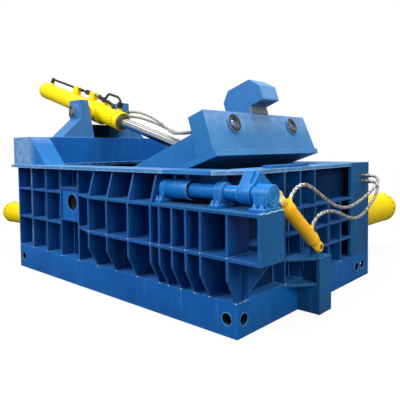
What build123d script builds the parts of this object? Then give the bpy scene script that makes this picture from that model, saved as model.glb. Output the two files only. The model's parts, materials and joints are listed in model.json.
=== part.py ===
from build123d import *
import math
import os

# Hydraulic scrap baling press. Millimetres, +Z up, +X along the long side.
# The origin is the middle of the base's underside.

# Shared plate stock and clearances
overrun = 50.0
running_fit = 0.05
slide_gap = 2.0
rib_plate = 25.0
shelf_plate = 30.0
wall_plate = 60.0

# Base
base_length = 4000.0
base_width = 2816.0
skirt_height = 320.0
skirt_plate = 40.0
base_sheet = 20.0
lift_hole_radius = 57.0
lift_hole_height = 160.0
lift_hole_end_inset = 119.0
near_lift_hole_inset = 99.0
far_lift_hole_insets = (353.0, 191.0)

# Body walls and rim
front_rib_depth = 180.0
right_rib_depth = 140.0
left_rib_depth = 120.0
floor_rise = 108.0
rim_top = 1480.0
rim_plate = 40.0
rim_overhang = 60.0
rim_left_overhang = 80.0
rim_right_land = 310.0
rim_corner_run = 240.0
rim_corner_depth = 318.0
corner_plate_width = 528.0
corner_plate_thick = 40.0
lock_plate_near = 575.0
lock_plate_length = 693.0
lock_plate_width = 120.0
lock_plate_inset = 12.0
lock_plate_thick = 28.0
corner_rib_gap = 7.5
flange_rib_gap = 152.5
left_rib_gap = 40.0
left_rib_end_gap = 6.0

# Bale, rams and their cylinders
bale_width = 450.0
ram_height = 390.0
ram_crown_gap = 20.0
main_ram_lead = 684.0
main_ram_length = 700.0
main_barrel_inset = 280.0
main_barrel_radius = 170.0
main_bore_radius = 125.0
main_rod_radius = 80.0
main_barrel_reach = 1440.0
main_flange_radius = 230.0
side_ram_length = 290.0
side_ram_clear = 26.0
side_axis_rise = 75.0
side_gland_radius = 190.0
side_barrel_radius = 225.0
side_bore_radius = 170.0
side_rod_radius = 110.0
side_barrel_reach = 1732.0
side_flange_radius = 290.0
ram_flange_thick = 60.0
ram_gland_thick = 30.0
ram_gland_depth = 60.0
ram_piston_length = 120.0
barrel_end_wall = 80.0
barrel_inner_reach = 50.0
barrel_hole_gap = 1.0
dome_share = 0.8

# Tipper shaft, shelf and bearings
shelf_reach = 124.0
shelf_top = 1148.0
middle_shelf_top = 748.0
shelf_overhang = 336.0
shelf_return = 228.0
shelf_slant_end_share = 0.4845
shelf_knee_height = 552.0
gusset_foot_inset = 10.0
gusset_head_reach = 28.0
shaft_rise = 136.0
shaft_setback = 72.0
shaft_radius = 68.0
bearing_radius = 95.0
bearing_foot_half = 150.0
bearing_foot_thick = 34.0
left_bearing_share = 0.758
left_bearing_length = 85.0
middle_bearing_share = 0.937
middle_bearing_length = 97.0
end_bearing_length = 149.0
end_bearing_wall = 16.0
drum_length = 298.0
drum_gap = 5.0
flap_left_share = 0.785
flap_right_share = 0.939
flap_gap = 6.0
flap_below_shaft = 16.0
flap_web = 40.0
flap_web_insets = (26.0, 57.0)
hub_radius = 88.0
crank_plate = 40.0
crank_gap = 46.0
hub_length = 96.0
arm_plate = 40.0

# Tipper linkage, in the plane across the shaft
crank_pin_reach = 297.0
crank_pin_rise = -44.0
crank_pin_radius = 30.0
crank_pin_stub = 14.0
crank_pin_play = 43.0
crank_rim = 32.0
crank_apex_reach = 84.0
crank_apex_rise = 198.0
foot_pin_reach = 1118.0
foot_pin_height = 668.0
foot_pin_radius = 25.0
tipper_plane = 180.0
tipper_barrel_radius = 59.0
tipper_bore_radius = 45.0
tipper_rod_radius = 35.0
tipper_barrel_start = 95.0
tipper_barrel_end = 815.0
tipper_eye_radius = 50.0
tipper_eye_half = 32.0
rod_eye_radius = 56.0
rod_eye_half = 26.0
port_radius = 20.0
port_length = 45.0
upper_port_place = 755.0
lower_port_place = 240.0
tipper_piston_place = 300.0
tipper_piston_length = 70.0
tipper_rod_neck = 40.0

# Foot bracket on the right end
bracket_near = 1016.0
bracket_width = 248.0
bracket_reach = 250.0
bracket_plate = 40.0
bracket_top = 572.0
bracket_low_shelf = 312.0
bracket_flare = 256.0
bracket_ear_half = 46.0
bracket_ear_plate = 40.0
bracket_ear_gap = 4.0

# Headstock, towers and lid cylinder
head_top = 1866.0
cheek_left_overhang = 26.0
cheek_top_length = 502.0
cheek_foot_length = 898.0
cheek_width = 280.0
cheek_set_in = 20.0
head_panel_inset = 440.0
head_plate = 40.0
trunnion_inset = 280.0
trunnion_z = 2272.0
trunnion_radius = 65.0
tower_half_length = 150.0
tower_top = 2436.0
tower_shoulder = 2150.0
tower_outer = 462.0
tower_inner_top = 322.0
tower_inner_foot = 222.0
tower_outer_foot = 782.0
tower_web_setback = 130.0
tower_web_top = 2085.0
trunnion_cap_radius = 85.0
trunnion_cap_thick = 30.0
lid_barrel_radius = 140.0
lid_bore_radius = 101.5
lid_rod_radius = 70.0
lid_barrel_back = 1760.0
lid_barrel_front = 540.0
lid_gland_length = 60.0
lid_gland_radius = 140.0
yoke_radius = 172.0
yoke_half_length = 110.0
lid_piston_place = 60.0
lid_piston_length = 120.0
pipe_radius = 19.0
pipe_standoff = 98.0
pipe_back_inset = 200.0
pipe_front_place = 85.0
pipe_loop_start = 140.0
pipe_loop_end = 400.0
pipe_loop_height = 335.0
pipe_port_place = 470.0
pipe_port_rise = 285.0
pipe_bend_radius = 60.0
clamp_places = (-740.0, -250.0)
clamp_length = 130.0
clamp_width = 90.0
clamp_crown = 30.0

# Lid, in its own frame: along the lid and above the hinge line
hinge_share = 0.3465
hinge_z = 1024.0
lid_rest_angle = 18.65
lid_side_gap = 10.0
lid_drop = 147.0
lid_plate = 65.0
lid_front_gap = 44.0
lid_lip = 25.0
lid_plate_start = 190.0
lid_side_plate = 60.0
lid_eye_radius = 185.0
hinge_pin_radius = 100.0
hinge_bore_gap = 6.0
hinge_plate_thick = 40.0
hinge_plate_inset = 18.0
hinge_pin_inset = 78.0
hinge_collar_radius = 138.0
hinge_rib_gap = 7.5
lid_arm_root = 100.0
lid_arm_top = 165.0
beam_depth = 217.0
beam_top = 343.0
beam_plate = 40.0
beam_far_rake = 72.0
lid_rib_top = 60.0
lid_rib_shares = (-0.32, -0.17, 0.17, 0.32)
lid_pin_setback = 895.0
lid_pin_rise = 105.0
lid_pin_radius = 55.0
lid_pin_play = 42.0
lug_plate = 60.0
lug_gap = 15.0
lug_radius = 150.0
lug_half_length = 300.0
rod_eye_half_width = 65.0
lid_rod_eye_radius = 105.0
hook_near_offset = 190.0
hook_width = 312.0
hook_back_setback = 338.0
hook_leg_foot = 165.0
hook_shoulder = 605.0
hook_slope_setback = 234.0
hook_top = 714.0
hook_nose_reach = 84.0
hook_beak_reach = 199.0
hook_beak_top = 595.0
hook_beak_foot = 432.0
hook_throat_setback = 10.0
hook_throat_top = 423.0
hook_pad_plate = 24.0
socket_spread = 565.0
socket_rise = 210.0
socket_radius = 110.0
socket_bore_radius = 52.0
socket_stand = 22.0

# Hydraulic hoses and their fittings
hose_radius = 18.0
fitting_radius = 25.0
fitting_length = 60.0
hose_lead = 90.0
arc_share = 0.45
bulkhead_inset = 199.0
bulkhead_height = 1313.0
bulkhead_step = 74.0
tower_fitting_offset = 408.0
tower_fitting_z = 2285.0
near_lid_fitting_inset = 328.0
far_lid_fitting_inset = 448.0
lid_fitting_rise = 300.0

# Places along the long side, as shares of the base length from its left end
front_rib_shares = (0.0, 0.101, 0.196, 0.286)
shelf_rib_shares = (0.4845, 0.5715, 0.664, 0.7525, 0.785, 0.829, 0.8745, 0.92, 1.0)
gusset_shares = (0.4845, 0.5715, 0.664, 0.7525)
front_row_shares = (0.386, 0.7415)
hinge_row_shares = (0.4395, 0.793)
back_rib_shares = (0.0, 0.125, 0.25, 0.375, 0.5, 0.625)
# Places along the right end, as shares of the base width from its near side
right_rib_shares = (0.2765, 0.383, 0.491, 0.601, 0.712)
right_tall_ribs = 3
right_row_shares = (0.232, 0.4355, 0.664)

# Derived planes
half_length = base_length / 2
half_width = base_width / 2
wall_top = rim_top - rim_plate
front_outer = -half_width + front_rib_depth
front_inner = front_outer + wall_plate
back_outer = half_width - front_rib_depth
back_inner = back_outer - wall_plate
far_inner = back_inner - side_ram_length - side_ram_clear
chamber_width = far_inner - front_inner
right_outer = half_length - right_rib_depth
right_inner = right_outer - wall_plate
left_outer = -half_length + left_rib_depth
left_inner = left_outer + wall_plate
floor_top = skirt_height + floor_rise
mid_y = (front_inner + far_inner) / 2
tunnel_left = right_inner - bale_width
side_axis = (tunnel_left + right_inner) / 2
main_ram_spread = chamber_width / 2 - main_barrel_inset
hinge_x = -half_length + hinge_share * base_length
hinge_rib = hinge_x + hinge_collar_radius + hinge_rib_gap
main_ram_face = hinge_x + main_ram_lead
mouth_right = half_length - rim_right_land
head_panel_plane = -half_length + head_panel_inset
trunnion_x = -half_length + trunnion_inset
ram_low = floor_top + slide_gap
ram_top = ram_low + ram_height
ram_axis = (ram_low + ram_top) / 2
side_ram_axis = ram_axis + side_axis_rise
shaft_y = -half_width + shaft_setback
shaft_z = shelf_top + shaft_rise
shelf_outer = -half_width - shelf_reach
shelf_right = half_length + shelf_overhang
flap_left = -half_length + flap_left_share * base_length
flap_right = -half_length + flap_right_share * base_length
shelf_return_edge = -half_width + shelf_return
lid_near = front_inner + lid_side_gap
lid_far = far_inner - lid_side_gap
lid_width = lid_far - lid_near
lid_front = mouth_right - lid_front_gap - lid_lip - hinge_x
lid_pin_along = lid_front - lid_pin_setback
hook_near = mid_y - hook_near_offset
hook_beak_along = lid_front + hook_beak_reach
lid_top_of_plate = lid_plate - lid_drop
beam_back = lid_front - beam_depth
crank_pin_y = shaft_y + crank_pin_reach
crank_pin_z = shaft_z + crank_pin_rise
foot_pin_y = -half_width + foot_pin_reach
tipper_x = half_length + tipper_plane
end_bearing_left = shelf_right - end_bearing_length
crank_right = end_bearing_left - crank_gap
crank_left = crank_right - crank_plate
hub_left = crank_left - hub_length


def block(x0, x1, y0, y1, z0, z1):
    """Box between two corners."""
    return Pos((x0 + x1) / 2, (y0 + y1) / 2, (z0 + z1) / 2) * Box(x1 - x0, y1 - y0, z1 - z0)


def prism_x(outline, x0, x1):
    """Outline in Y and Z, drawn out along X."""
    face = make_face(Polyline(*[(x0, y, z) for y, z in outline], close=True))
    return extrude(face, amount=x1 - x0, dir=(1, 0, 0))


def prism_y(outline, y0, y1):
    """Outline in X and Z, drawn out along Y."""
    face = make_face(Polyline(*[(x, y0, z) for x, z in outline], close=True))
    return extrude(face, amount=y1 - y0, dir=(0, 1, 0))


def prism_z(outline, z0, z1):
    """Outline in X and Y, drawn out along Z."""
    face = make_face(Polyline(*[(x, y, z0) for x, y in outline], close=True))
    return extrude(face, amount=z1 - z0, dir=(0, 0, 1))


def round_x(radius, x0, x1, y, z):
    """Round bar along X."""
    return Pos((x0 + x1) / 2, y, z) * Rot(0, 90, 0) * Cylinder(radius, x1 - x0)


def round_y(radius, y0, y1, x, z):
    """Round bar along Y."""
    return Pos(x, (y0 + y1) / 2, z) * Rot(90, 0, 0) * Cylinder(radius, y1 - y0)


def round_z(radius, z0, z1, x, y):
    """Round bar along Z."""
    return Pos(x, y, (z0 + z1) / 2) * Cylinder(radius, z1 - z0)


def save(node, *shapes):
    """Write one node's solids."""
    solids = [solid for shape in shapes for solid in shape.solids()]
    export_step(solids[0] if len(solids) == 1 else Compound(solids), f"parts/{node}.step")


def build_base():
    """Skirt plates, underside sheet, deck and two cross members."""
    wall = skirt_plate
    inner_x = half_length - wall
    near_cut = round_y(lift_hole_radius, -half_width - overrun, half_width + overrun,
                       half_length - lift_hole_end_inset, lift_hole_height)
    far_cut = round_y(lift_hole_radius, -half_width - overrun, half_width + overrun,
                      -half_length + lift_hole_end_inset, lift_hole_height)
    end_places = [-half_width + near_lift_hole_inset]
    end_places += [half_width - inset for inset in far_lift_hole_insets]
    end_cuts = [round_x(lift_hole_radius, -half_length - overrun, half_length + overrun, y, lift_hole_height)
                for y in end_places]
    low, high = base_sheet, skirt_height - base_sheet
    front = block(-half_length, half_length, -half_width, -half_width + wall, low, high) - near_cut - far_cut
    back = block(-half_length, half_length, half_width - wall, half_width, low, high) - near_cut - far_cut
    ends = []
    for x0, cuts in ((-half_length, end_cuts[1:]), (half_length - wall, end_cuts)):
        end = block(x0, x0 + wall, -half_width + wall, half_width - wall, low, high)
        for cut in cuts:
            end -= cut
        ends.append(end)
    sheet = block(-half_length, half_length, -half_width, half_width, 0, low)
    deck = block(-half_length, half_length, -half_width, half_width, high, skirt_height)
    third = 2 * inner_x / 3
    members = [block(x - wall / 2, x + wall / 2, -half_width + wall, half_width - wall, low, high)
               for x in (-third / 2, third / 2)]
    save("base_frame", front, back, *ends, sheet, deck, *members)


def build_walls():
    """Chamber floor, the chamber walls, the ram housings' covers and the web between the towers."""
    floor = block(left_inner, right_inner, front_inner, far_inner, skirt_height, floor_top)
    floor += block(tunnel_left, right_inner, far_inner, back_inner, skirt_height, floor_top)
    save("chamber_floor", floor)

    front = block(left_outer, right_outer, front_outer, front_inner, skirt_height, wall_top)
    front -= block(flap_left - flap_gap, flap_right + flap_gap, front_outer - overrun, front_inner + overrun,
                   shaft_z - flap_below_shaft - flap_gap, wall_top + overrun)
    front -= round_y(hinge_pin_radius + running_fit, front_outer - overrun, front_inner + overrun,
                     hinge_x, hinge_z)
    save("front_wall", front)

    back = block(left_inner, tunnel_left, far_inner, far_inner + wall_plate, skirt_height, wall_top)
    back += block(tunnel_left - wall_plate, tunnel_left, far_inner, back_inner, skirt_height, wall_top)
    back -= round_y(hinge_pin_radius + running_fit, far_inner - overrun, far_inner + wall_plate + overrun,
                    hinge_x, hinge_z)
    save("back_wall", back)

    outer = block(left_outer, right_outer, back_inner, back_outer, skirt_height, wall_top)
    outer -= round_y(side_barrel_radius + barrel_hole_gap, back_inner - overrun, back_outer + overrun,
                     side_axis, side_ram_axis)
    save("back_outer_wall", outer)

    right = block(right_inner, right_outer, front_inner, back_inner, skirt_height, wall_top)
    save("right_wall", right)

    left = block(left_outer, left_inner, front_inner, back_inner, skirt_height, wall_top)
    for y in (mid_y - main_ram_spread, mid_y + main_ram_spread):
        left -= round_x(main_barrel_radius + barrel_hole_gap, left_outer - overrun, left_inner + overrun,
                        y, ram_axis)
    save("left_wall", left)

    cover_low = ram_top + ram_crown_gap
    cover = block(left_inner, hinge_x - lid_eye_radius - wall_plate / 2, front_inner, far_inner,
                  cover_low, cover_low + skirt_plate)
    tunnel_low = cover_low + side_axis_rise
    tunnel_cover = block(tunnel_left, right_inner, far_inner + ram_crown_gap, back_inner,
                         tunnel_low, tunnel_low + skirt_plate)
    rise_share = (tower_web_top - head_top) / (tower_top - head_top)
    reach = tower_inner_foot + rise_share * (tower_inner_top - tower_inner_foot)
    outline = [(mid_y - tower_inner_foot, head_top), (mid_y + tower_inner_foot, head_top),
               (mid_y + reach, tower_web_top), (mid_y - reach, tower_web_top)]
    web_left = trunnion_x - tower_web_setback
    save("housing_cover", cover, tunnel_cover, prism_x(outline, web_left, web_left + rib_plate))


def build_rim():
    """Rim frame round the chamber mouth, and the raised plate beside the lock."""
    left, right = -half_length - rim_left_overhang, half_length
    near, far = -half_width - rim_overhang, half_width
    outline = [(left, near), (right - rim_corner_run, near), (right, near + rim_corner_depth),
               (right, far), (left, far)]
    rim = prism_z(outline, wall_top, rim_top)
    low, high = wall_top - overrun, rim_top + overrun
    rim -= block(head_panel_plane, mouth_right, front_inner, far_inner, low, high)
    rim -= block(flap_left - flap_gap, flap_right + flap_gap, near - overrun, front_inner + overrun,
                 low, high)
    hook_gap = rib_plate
    rim -= block(mouth_right - overrun, hinge_x + hook_beak_along + hook_gap,
                 hook_near - hook_gap, hook_near + hook_width + hook_gap, low, high)
    rim -= block(half_length - corner_plate_thick, half_length + overrun,
                 half_width - corner_plate_width, half_width + overrun, low, high)
    save("rim_plate", rim)
    plate_near, plate_right = -half_width + lock_plate_near, half_length - lock_plate_inset
    plate = block(plate_right - lock_plate_width, plate_right, plate_near, plate_near + lock_plate_length,
                  rim_top, rim_top + lock_plate_thick)
    save("rim_lock_plate", plate)


def rib_places(shares, span, start):
    """Left faces of ribs whose middles lie at shares of a span, kept within it."""
    places = []
    for share in shares:
        middle = start + share * span
        middle = min(max(middle, start + rib_plate / 2), start + span - rib_plate / 2)
        places.append(middle - rib_plate / 2)
    return places


def build_front_grid():
    """Egg-crate ribs left of the shelf, their rows, and the hinge bosses."""
    ribs = rib_places(front_rib_shares, base_length, -half_length) + [hinge_rib]
    solids = [block(x, x + rib_plate, -half_width, front_outer, skirt_height, wall_top) for x in ribs]
    rise = wall_top - skirt_height
    for i in range(len(ribs) - 1):
        shares = hinge_row_shares if i == len(ribs) - 2 else front_row_shares
        for share in shares:
            top = skirt_height + share * rise
            solids.append(block(ribs[i] + rib_plate, ribs[i + 1], -half_width, front_outer,
                                top - rib_plate, top))
    save("front_grid", *solids)

    plate_near = -half_width + hinge_plate_inset
    low = skirt_height + hinge_row_shares[0] * rise
    high = skirt_height + hinge_row_shares[1] * rise - rib_plate
    hole = hinge_pin_radius + hinge_bore_gap
    near = block(ribs[-2] + rib_plate, ribs[-1], plate_near, plate_near + hinge_plate_thick, low, high)
    near += round_y(hinge_collar_radius, plate_near, front_outer, hinge_x, hinge_z)
    near -= round_y(hole, plate_near - overrun, front_outer + overrun, hinge_x, hinge_z)
    boss = round_y(hinge_collar_radius, far_inner + wall_plate, back_inner, hinge_x, hinge_z)
    boss -= round_y(hole, far_inner, back_inner + overrun, hinge_x, hinge_z)
    save("hinge_plates", near, boss)
    near_pin = round_y(hinge_pin_radius, -half_width + hinge_pin_inset, lid_near + lid_side_plate,
                       hinge_x, hinge_z)
    far_pin = round_y(hinge_pin_radius, lid_far - lid_side_plate, back_inner - hinge_pin_inset,
                      hinge_x, hinge_z)
    save("hinge_pins", near_pin, far_pin)


def build_shelf():
    """Bulged shelf section that carries the tipper shaft."""
    slant_start = hinge_rib + rib_plate
    slant_end = -half_length + shelf_slant_end_share * base_length - rib_plate / 2
    plate_left = shelf_right - shelf_plate
    outline = [(slant_start, front_outer), (slant_start, -half_width), (slant_end, shelf_outer),
               (plate_left, shelf_outer), (plate_left, shelf_return_edge), (right_outer, shelf_return_edge),
               (right_outer, front_outer)]
    save("bearing_shelf", prism_z(outline, shelf_top - shelf_plate, shelf_top))
    save("middle_shelf", prism_z(outline, middle_shelf_top - shelf_plate, middle_shelf_top))
    save("shelf_end_plate", block(plate_left, shelf_right, shelf_outer, shelf_return_edge,
                                  middle_shelf_top - shelf_plate, shelf_top))

    lower = [(front_outer, skirt_height), (-half_width, skirt_height), (shelf_outer, shelf_knee_height),
             (shelf_outer, middle_shelf_top - shelf_plate), (front_outer, middle_shelf_top - shelf_plate)]
    upper = [(front_outer, shelf_top), (shelf_outer + gusset_foot_inset, shelf_top),
             (-half_width - gusset_head_reach, wall_top), (front_outer, wall_top)]
    ribs = rib_places(shelf_rib_shares, base_length, -half_length)
    solids = []
    for x in ribs:
        solids.append(prism_x(lower, x, x + rib_plate))
        solids.append(block(x, x + rib_plate, shelf_outer, front_outer,
                            middle_shelf_top, shelf_top - shelf_plate))
    for x in rib_places(gusset_shares, base_length, -half_length):
        solids.append(prism_x(upper, x, x + rib_plate))
    corner = [(half_length, skirt_height), (plate_left, middle_shelf_top - shelf_plate),
              (half_length, middle_shelf_top - shelf_plate)]
    solids.append(prism_y(corner, shaft_y - rib_plate / 2, shaft_y + rib_plate / 2))
    save("shelf_ribs", *solids)


def build_right_grid():
    """Ribs and rows of the right end, and the flush plate at its far corner."""
    ribs = rib_places(right_rib_shares, base_width, -half_width)
    far = half_width - corner_plate_width
    rise = wall_top - skirt_height
    rows = [skirt_height + share * rise for share in right_row_shares]
    solids = []
    for i, y in enumerate(ribs):
        top = wall_top if i < right_tall_ribs else rows[-1] - rib_plate
        solids.append(block(right_outer, half_length, y, y + rib_plate, skirt_height, top))
    edges = [shelf_return_edge] + [y + rib_plate for y in ribs]
    stops = ribs + [far]
    for row, top in enumerate(rows):
        is_top = row == len(rows) - 1
        for i in range(len(edges)):
            if is_top and i >= right_tall_ribs:
                continue
            near = front_inner if i == 0 else edges[i]
            solids.append(block(right_outer, half_length, near, stops[i], top - rib_plate, top))
        if is_top:
            solids.append(block(right_outer, half_length, edges[right_tall_ribs], far, top - rib_plate, top))
    save("right_grid", *solids)
    save("corner_plate", block(half_length - corner_plate_thick, half_length, far, half_width,
                               skirt_height, rim_top))


def build_back_and_left():
    """Ribs of the far side and of the left end."""
    ribs = rib_places(back_rib_shares, base_length, -half_length)
    ribs.append(side_axis - side_flange_radius - flange_rib_gap - rib_plate)
    ribs.append(half_length - corner_plate_thick - corner_rib_gap - rib_plate)
    rise = wall_top - skirt_height
    far = half_width
    solids = []
    for x in ribs:
        solids.append(block(x, x + rib_plate, back_outer, far, skirt_height, wall_top))
    for i in range(len(ribs) - 1):
        shares = front_row_shares if i < len(ribs) - 2 else front_row_shares[1:]
        for share in shares:
            top = skirt_height + share * rise
            solids.append(block(ribs[i] + rib_plate, ribs[i + 1], back_outer, far, top - rib_plate, top))
    save("back_grid", *solids)
    ring = main_flange_radius + left_rib_gap
    near_axis, far_axis = mid_y - main_ram_spread, mid_y + main_ram_spread
    places = [front_inner + left_rib_end_gap, near_axis + ring, mid_y - rib_plate / 2,
              far_axis - ring - rib_plate, far_axis + ring, back_inner - left_rib_end_gap - rib_plate]
    save("left_ribs", *[block(-half_length + rib_plate, left_outer, y, y + rib_plate, skirt_height, wall_top)
                        for y in places])


def build_foot_bracket():
    """Welded bracket at the right end, with one ear for the tipper cylinder's foot pin."""
    near = -half_width + bracket_near
    far = near + bracket_width
    front = half_length + bracket_reach
    back = front - bracket_plate
    flare = near - bracket_flare
    bracket = block(back, front, near, far, 0, bracket_top)
    shelf = [(half_length, flare), (back, near), (back, far), (half_length, far)]
    for top in (bracket_low_shelf, bracket_top):
        bracket += prism_z(shelf, top - rib_plate, top)
    middle = (near + far) / 2
    bracket += block(half_length, back, near, near + rib_plate, 0, bracket_low_shelf)
    bracket += block(half_length, back, middle, middle + rib_plate,
                     bracket_low_shelf - rib_plate, bracket_top)
    ear_right = tipper_x - tipper_eye_half - bracket_ear_gap
    ear_left = ear_right - bracket_ear_plate
    bracket += block(ear_left, ear_right, foot_pin_y - bracket_ear_half, foot_pin_y + bracket_ear_half,
                     bracket_top - rib_plate, foot_pin_height)
    bracket += round_x(bracket_ear_half, ear_left, ear_right, foot_pin_y, foot_pin_height)
    bracket -= round_x(foot_pin_radius + running_fit, half_length, front + overrun,
                       foot_pin_y, foot_pin_height)
    save("foot_bracket", bracket)
    pin_right = tipper_x + tipper_eye_half + bracket_ear_gap
    save("foot_pin", round_x(foot_pin_radius, ear_left - bracket_ear_gap, pin_right,
                             foot_pin_y, foot_pin_height))


def build_headstock():
    """Cheeks, cross beam, trunnion towers and their caps."""
    left = -half_length - cheek_left_overhang
    cheek = [(left, rim_top), (left, head_top), (left + cheek_top_length, head_top),
             (left + cheek_foot_length, rim_top)]
    near = -half_width - rim_overhang + cheek_set_in
    far = half_width
    near_cheek = prism_y(cheek, near, near + cheek_width)
    far_cheek = prism_y(cheek, far - cheek_width, far)
    save("head_cheeks", near_cheek, far_cheek)

    y0, y1 = near + cheek_width, far - cheek_width
    beam = block(left, head_panel_plane, y0, y1, rim_top, head_top)
    beam -= block(left + head_plate, head_panel_plane - head_plate, y0 - overrun, y1 + overrun,
                  rim_top - overrun, head_top - head_plate)
    save("head_beam", beam)

    outline = [(tower_outer_foot, head_top), (tower_inner_foot, head_top), (tower_inner_top, tower_top),
               (tower_outer, tower_top), (tower_outer, tower_shoulder)]
    x0, x1 = trunnion_x - tower_half_length, trunnion_x + tower_half_length
    bore = round_y(trunnion_radius + running_fit, mid_y - tower_outer - overrun,
                   mid_y + tower_outer + overrun, trunnion_x, trunnion_z)
    towers = [prism_x([(mid_y + side * reach, z) for reach, z in outline], x0, x1) - bore for side in (-1, 1)]
    save("trunnion_towers", *towers)
    near_face, far_face = mid_y - tower_outer, mid_y + tower_outer
    caps = [round_y(trunnion_cap_radius, near_face - trunnion_cap_thick, near_face, trunnion_x, trunnion_z),
            round_y(trunnion_cap_radius, far_face, far_face + trunnion_cap_thick, trunnion_x, trunnion_z)]
    save("trunnion_caps", *caps)


def bearing(x0, x1, bore_end):
    """Pillow block round the tipper shaft."""
    foot_top = shelf_top + bearing_foot_thick
    housing = round_x(bearing_radius, x0, x1, shaft_y, shaft_z)
    housing += block(x0, x1, shaft_y - bearing_radius, shaft_y + bearing_radius, shelf_top, shaft_z)
    housing += block(x0, x1, shaft_y - bearing_foot_half, front_outer, shelf_top, foot_top)
    return housing - round_x(shaft_radius + running_fit, x0 - overrun, bore_end, shaft_y, shaft_z)


def bearing_spans():
    """Left and right faces of the three pillow blocks."""
    left = -half_length + left_bearing_share * base_length
    middle = -half_length + middle_bearing_share * base_length
    return ((left, left + left_bearing_length), (middle, middle + middle_bearing_length),
            (end_bearing_left, shelf_right))


def hex_bolt(radius, height, x, y, z):
    """Hexagon head standing on a level face."""
    face = Pos(x, y, z) * RegularPolygon(radius, 6)
    return extrude(face, amount=height, dir=(0, 0, 1))


def build_bearings():
    """Pillow blocks and the bolts on them and on the trunnion caps."""
    spans = bearing_spans()
    blocks = []
    for i, (x0, x1) in enumerate(spans):
        last = i == len(spans) - 1
        blocks.append(bearing(x0, x1, x1 - end_bearing_wall if last else x1 + overrun))
    save("shaft_bearings", *blocks)

    foot_top = shelf_top + bearing_foot_thick
    head = bearing_foot_thick / 2
    reach = (bearing_radius + bearing_foot_half) / 2
    bolts = []
    for x0, x1 in spans:
        inset = (x1 - x0) / 4
        for x in (x0 + inset, x1 - inset):
            bolts.append(hex_bolt(head, head, x, shaft_y - reach, foot_top))
    ring = trunnion_cap_radius * 2 / 3
    thick = trunnion_cap_thick / 2
    near_face = mid_y - tower_outer - trunnion_cap_thick
    far_face = mid_y + tower_outer + trunnion_cap_thick
    for i in range(4):
        angle = math.radians(90 * i + 45)
        x = trunnion_x + ring * math.cos(angle)
        z = trunnion_z + ring * math.sin(angle)
        bolts.append(round_y(thick, near_face - thick, near_face, x, z))
        bolts.append(round_y(thick, far_face, far_face + thick, x, z))
    save("frame_bolts", *bolts)


def domed_barrel(radius, length):
    """Round barrel along +Z from 0, with its far end domed."""
    barrel = Pos(0, 0, length / 2) * Cylinder(radius, length)
    edge = barrel.edges().filter_by(GeomType.CIRCLE).sort_by(Axis.Z)[-1]
    return fillet(edge, radius * dome_share)


def ram_cylinder(radius, bore, flange_radius, reach, inner):
    """Fixed barrel along +Z, with its flange at 0 and its mouth at -inner."""
    barrel = Pos(0, 0, -inner) * domed_barrel(radius, inner + reach)
    barrel += Pos(0, 0, ram_flange_thick / 2) * Cylinder(flange_radius, ram_flange_thick)
    depth = inner + reach - barrel_end_wall - radius * dome_share / 2
    barrel -= Pos(0, 0, -inner - overrun + (depth + overrun) / 2) * Cylinder(bore, depth + overrun)
    return barrel


def ram_gland(radius, bore, rod, inner):
    """Gland in the mouth of a fixed barrel."""
    face = Pos(0, 0, -inner - ram_gland_thick / 2) * Cylinder(radius, ram_gland_thick)
    nose = Pos(0, 0, -inner + ram_gland_depth / 2) * Cylinder(bore, ram_gland_depth)
    gland = face + nose
    length = ram_gland_thick + ram_gland_depth + 2 * overrun
    return gland - Pos(0, 0, -inner) * Cylinder(rod + running_fit, length)


def build_rams():
    """Main and side rams, with their barrels, glands, rods and pistons."""
    inner = barrel_inner_reach
    main_reach = main_barrel_reach + left_rib_depth
    ends = [mid_y - main_ram_spread, mid_y + main_ram_spread]
    place = [Pos(left_outer, y, ram_axis) * Rot(0, -90, 0) for y in ends]
    barrel = ram_cylinder(main_barrel_radius, main_bore_radius, main_flange_radius, main_reach, inner)
    gland = ram_gland(main_barrel_radius, main_bore_radius, main_rod_radius, inner)
    save("main_barrels", *[p * barrel for p in place])

    side_place = Pos(side_axis, back_outer, side_ram_axis) * Rot(-90, 0, 0)
    side_reach = side_barrel_reach + front_rib_depth
    side_barrel = ram_cylinder(side_barrel_radius, side_bore_radius, side_flange_radius, side_reach, inner)
    save("side_barrel", side_place * side_barrel)
    side_gland = ram_gland(side_gland_radius, side_bore_radius, side_rod_radius, inner)
    save("ram_glands", *[p * gland for p in place], side_place * side_gland)

    back = main_ram_face - main_ram_length
    head = block(back, main_ram_face, front_inner + slide_gap, far_inner - slide_gap, ram_low, ram_top)
    save("main_ram_head", head)
    piston_back = left_outer - main_reach + barrel_end_wall + main_barrel_radius * dome_share / 2 + slide_gap
    rods = []
    for y in ends:
        rod = round_x(main_rod_radius, piston_back, back, y, ram_axis)
        rod += round_x(main_bore_radius - slide_gap, piston_back, piston_back + ram_piston_length,
                       y, ram_axis)
        rods.append(rod)
    save("main_rods", *rods)

    side_back = far_inner + side_ram_length
    save("side_ram_head", block(tunnel_left + slide_gap, right_inner - slide_gap, far_inner, side_back,
                                ram_low, ram_top))
    piston_far = back_outer + side_reach - barrel_end_wall - side_barrel_radius * dome_share / 2 - slide_gap
    rod = round_y(side_rod_radius, side_back, piston_far, side_axis, side_ram_axis)
    rod += round_y(side_bore_radius - slide_gap, piston_far - ram_piston_length, piston_far,
                   side_axis, side_ram_axis)
    save("side_rod", rod)


def on_lid(shape):
    """Set a shape drawn in the lid's frame on the lid as it stands at rest."""
    return Pos(hinge_x, 0, hinge_z) * Rot(0, -lid_rest_angle, 0) * shape


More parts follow.
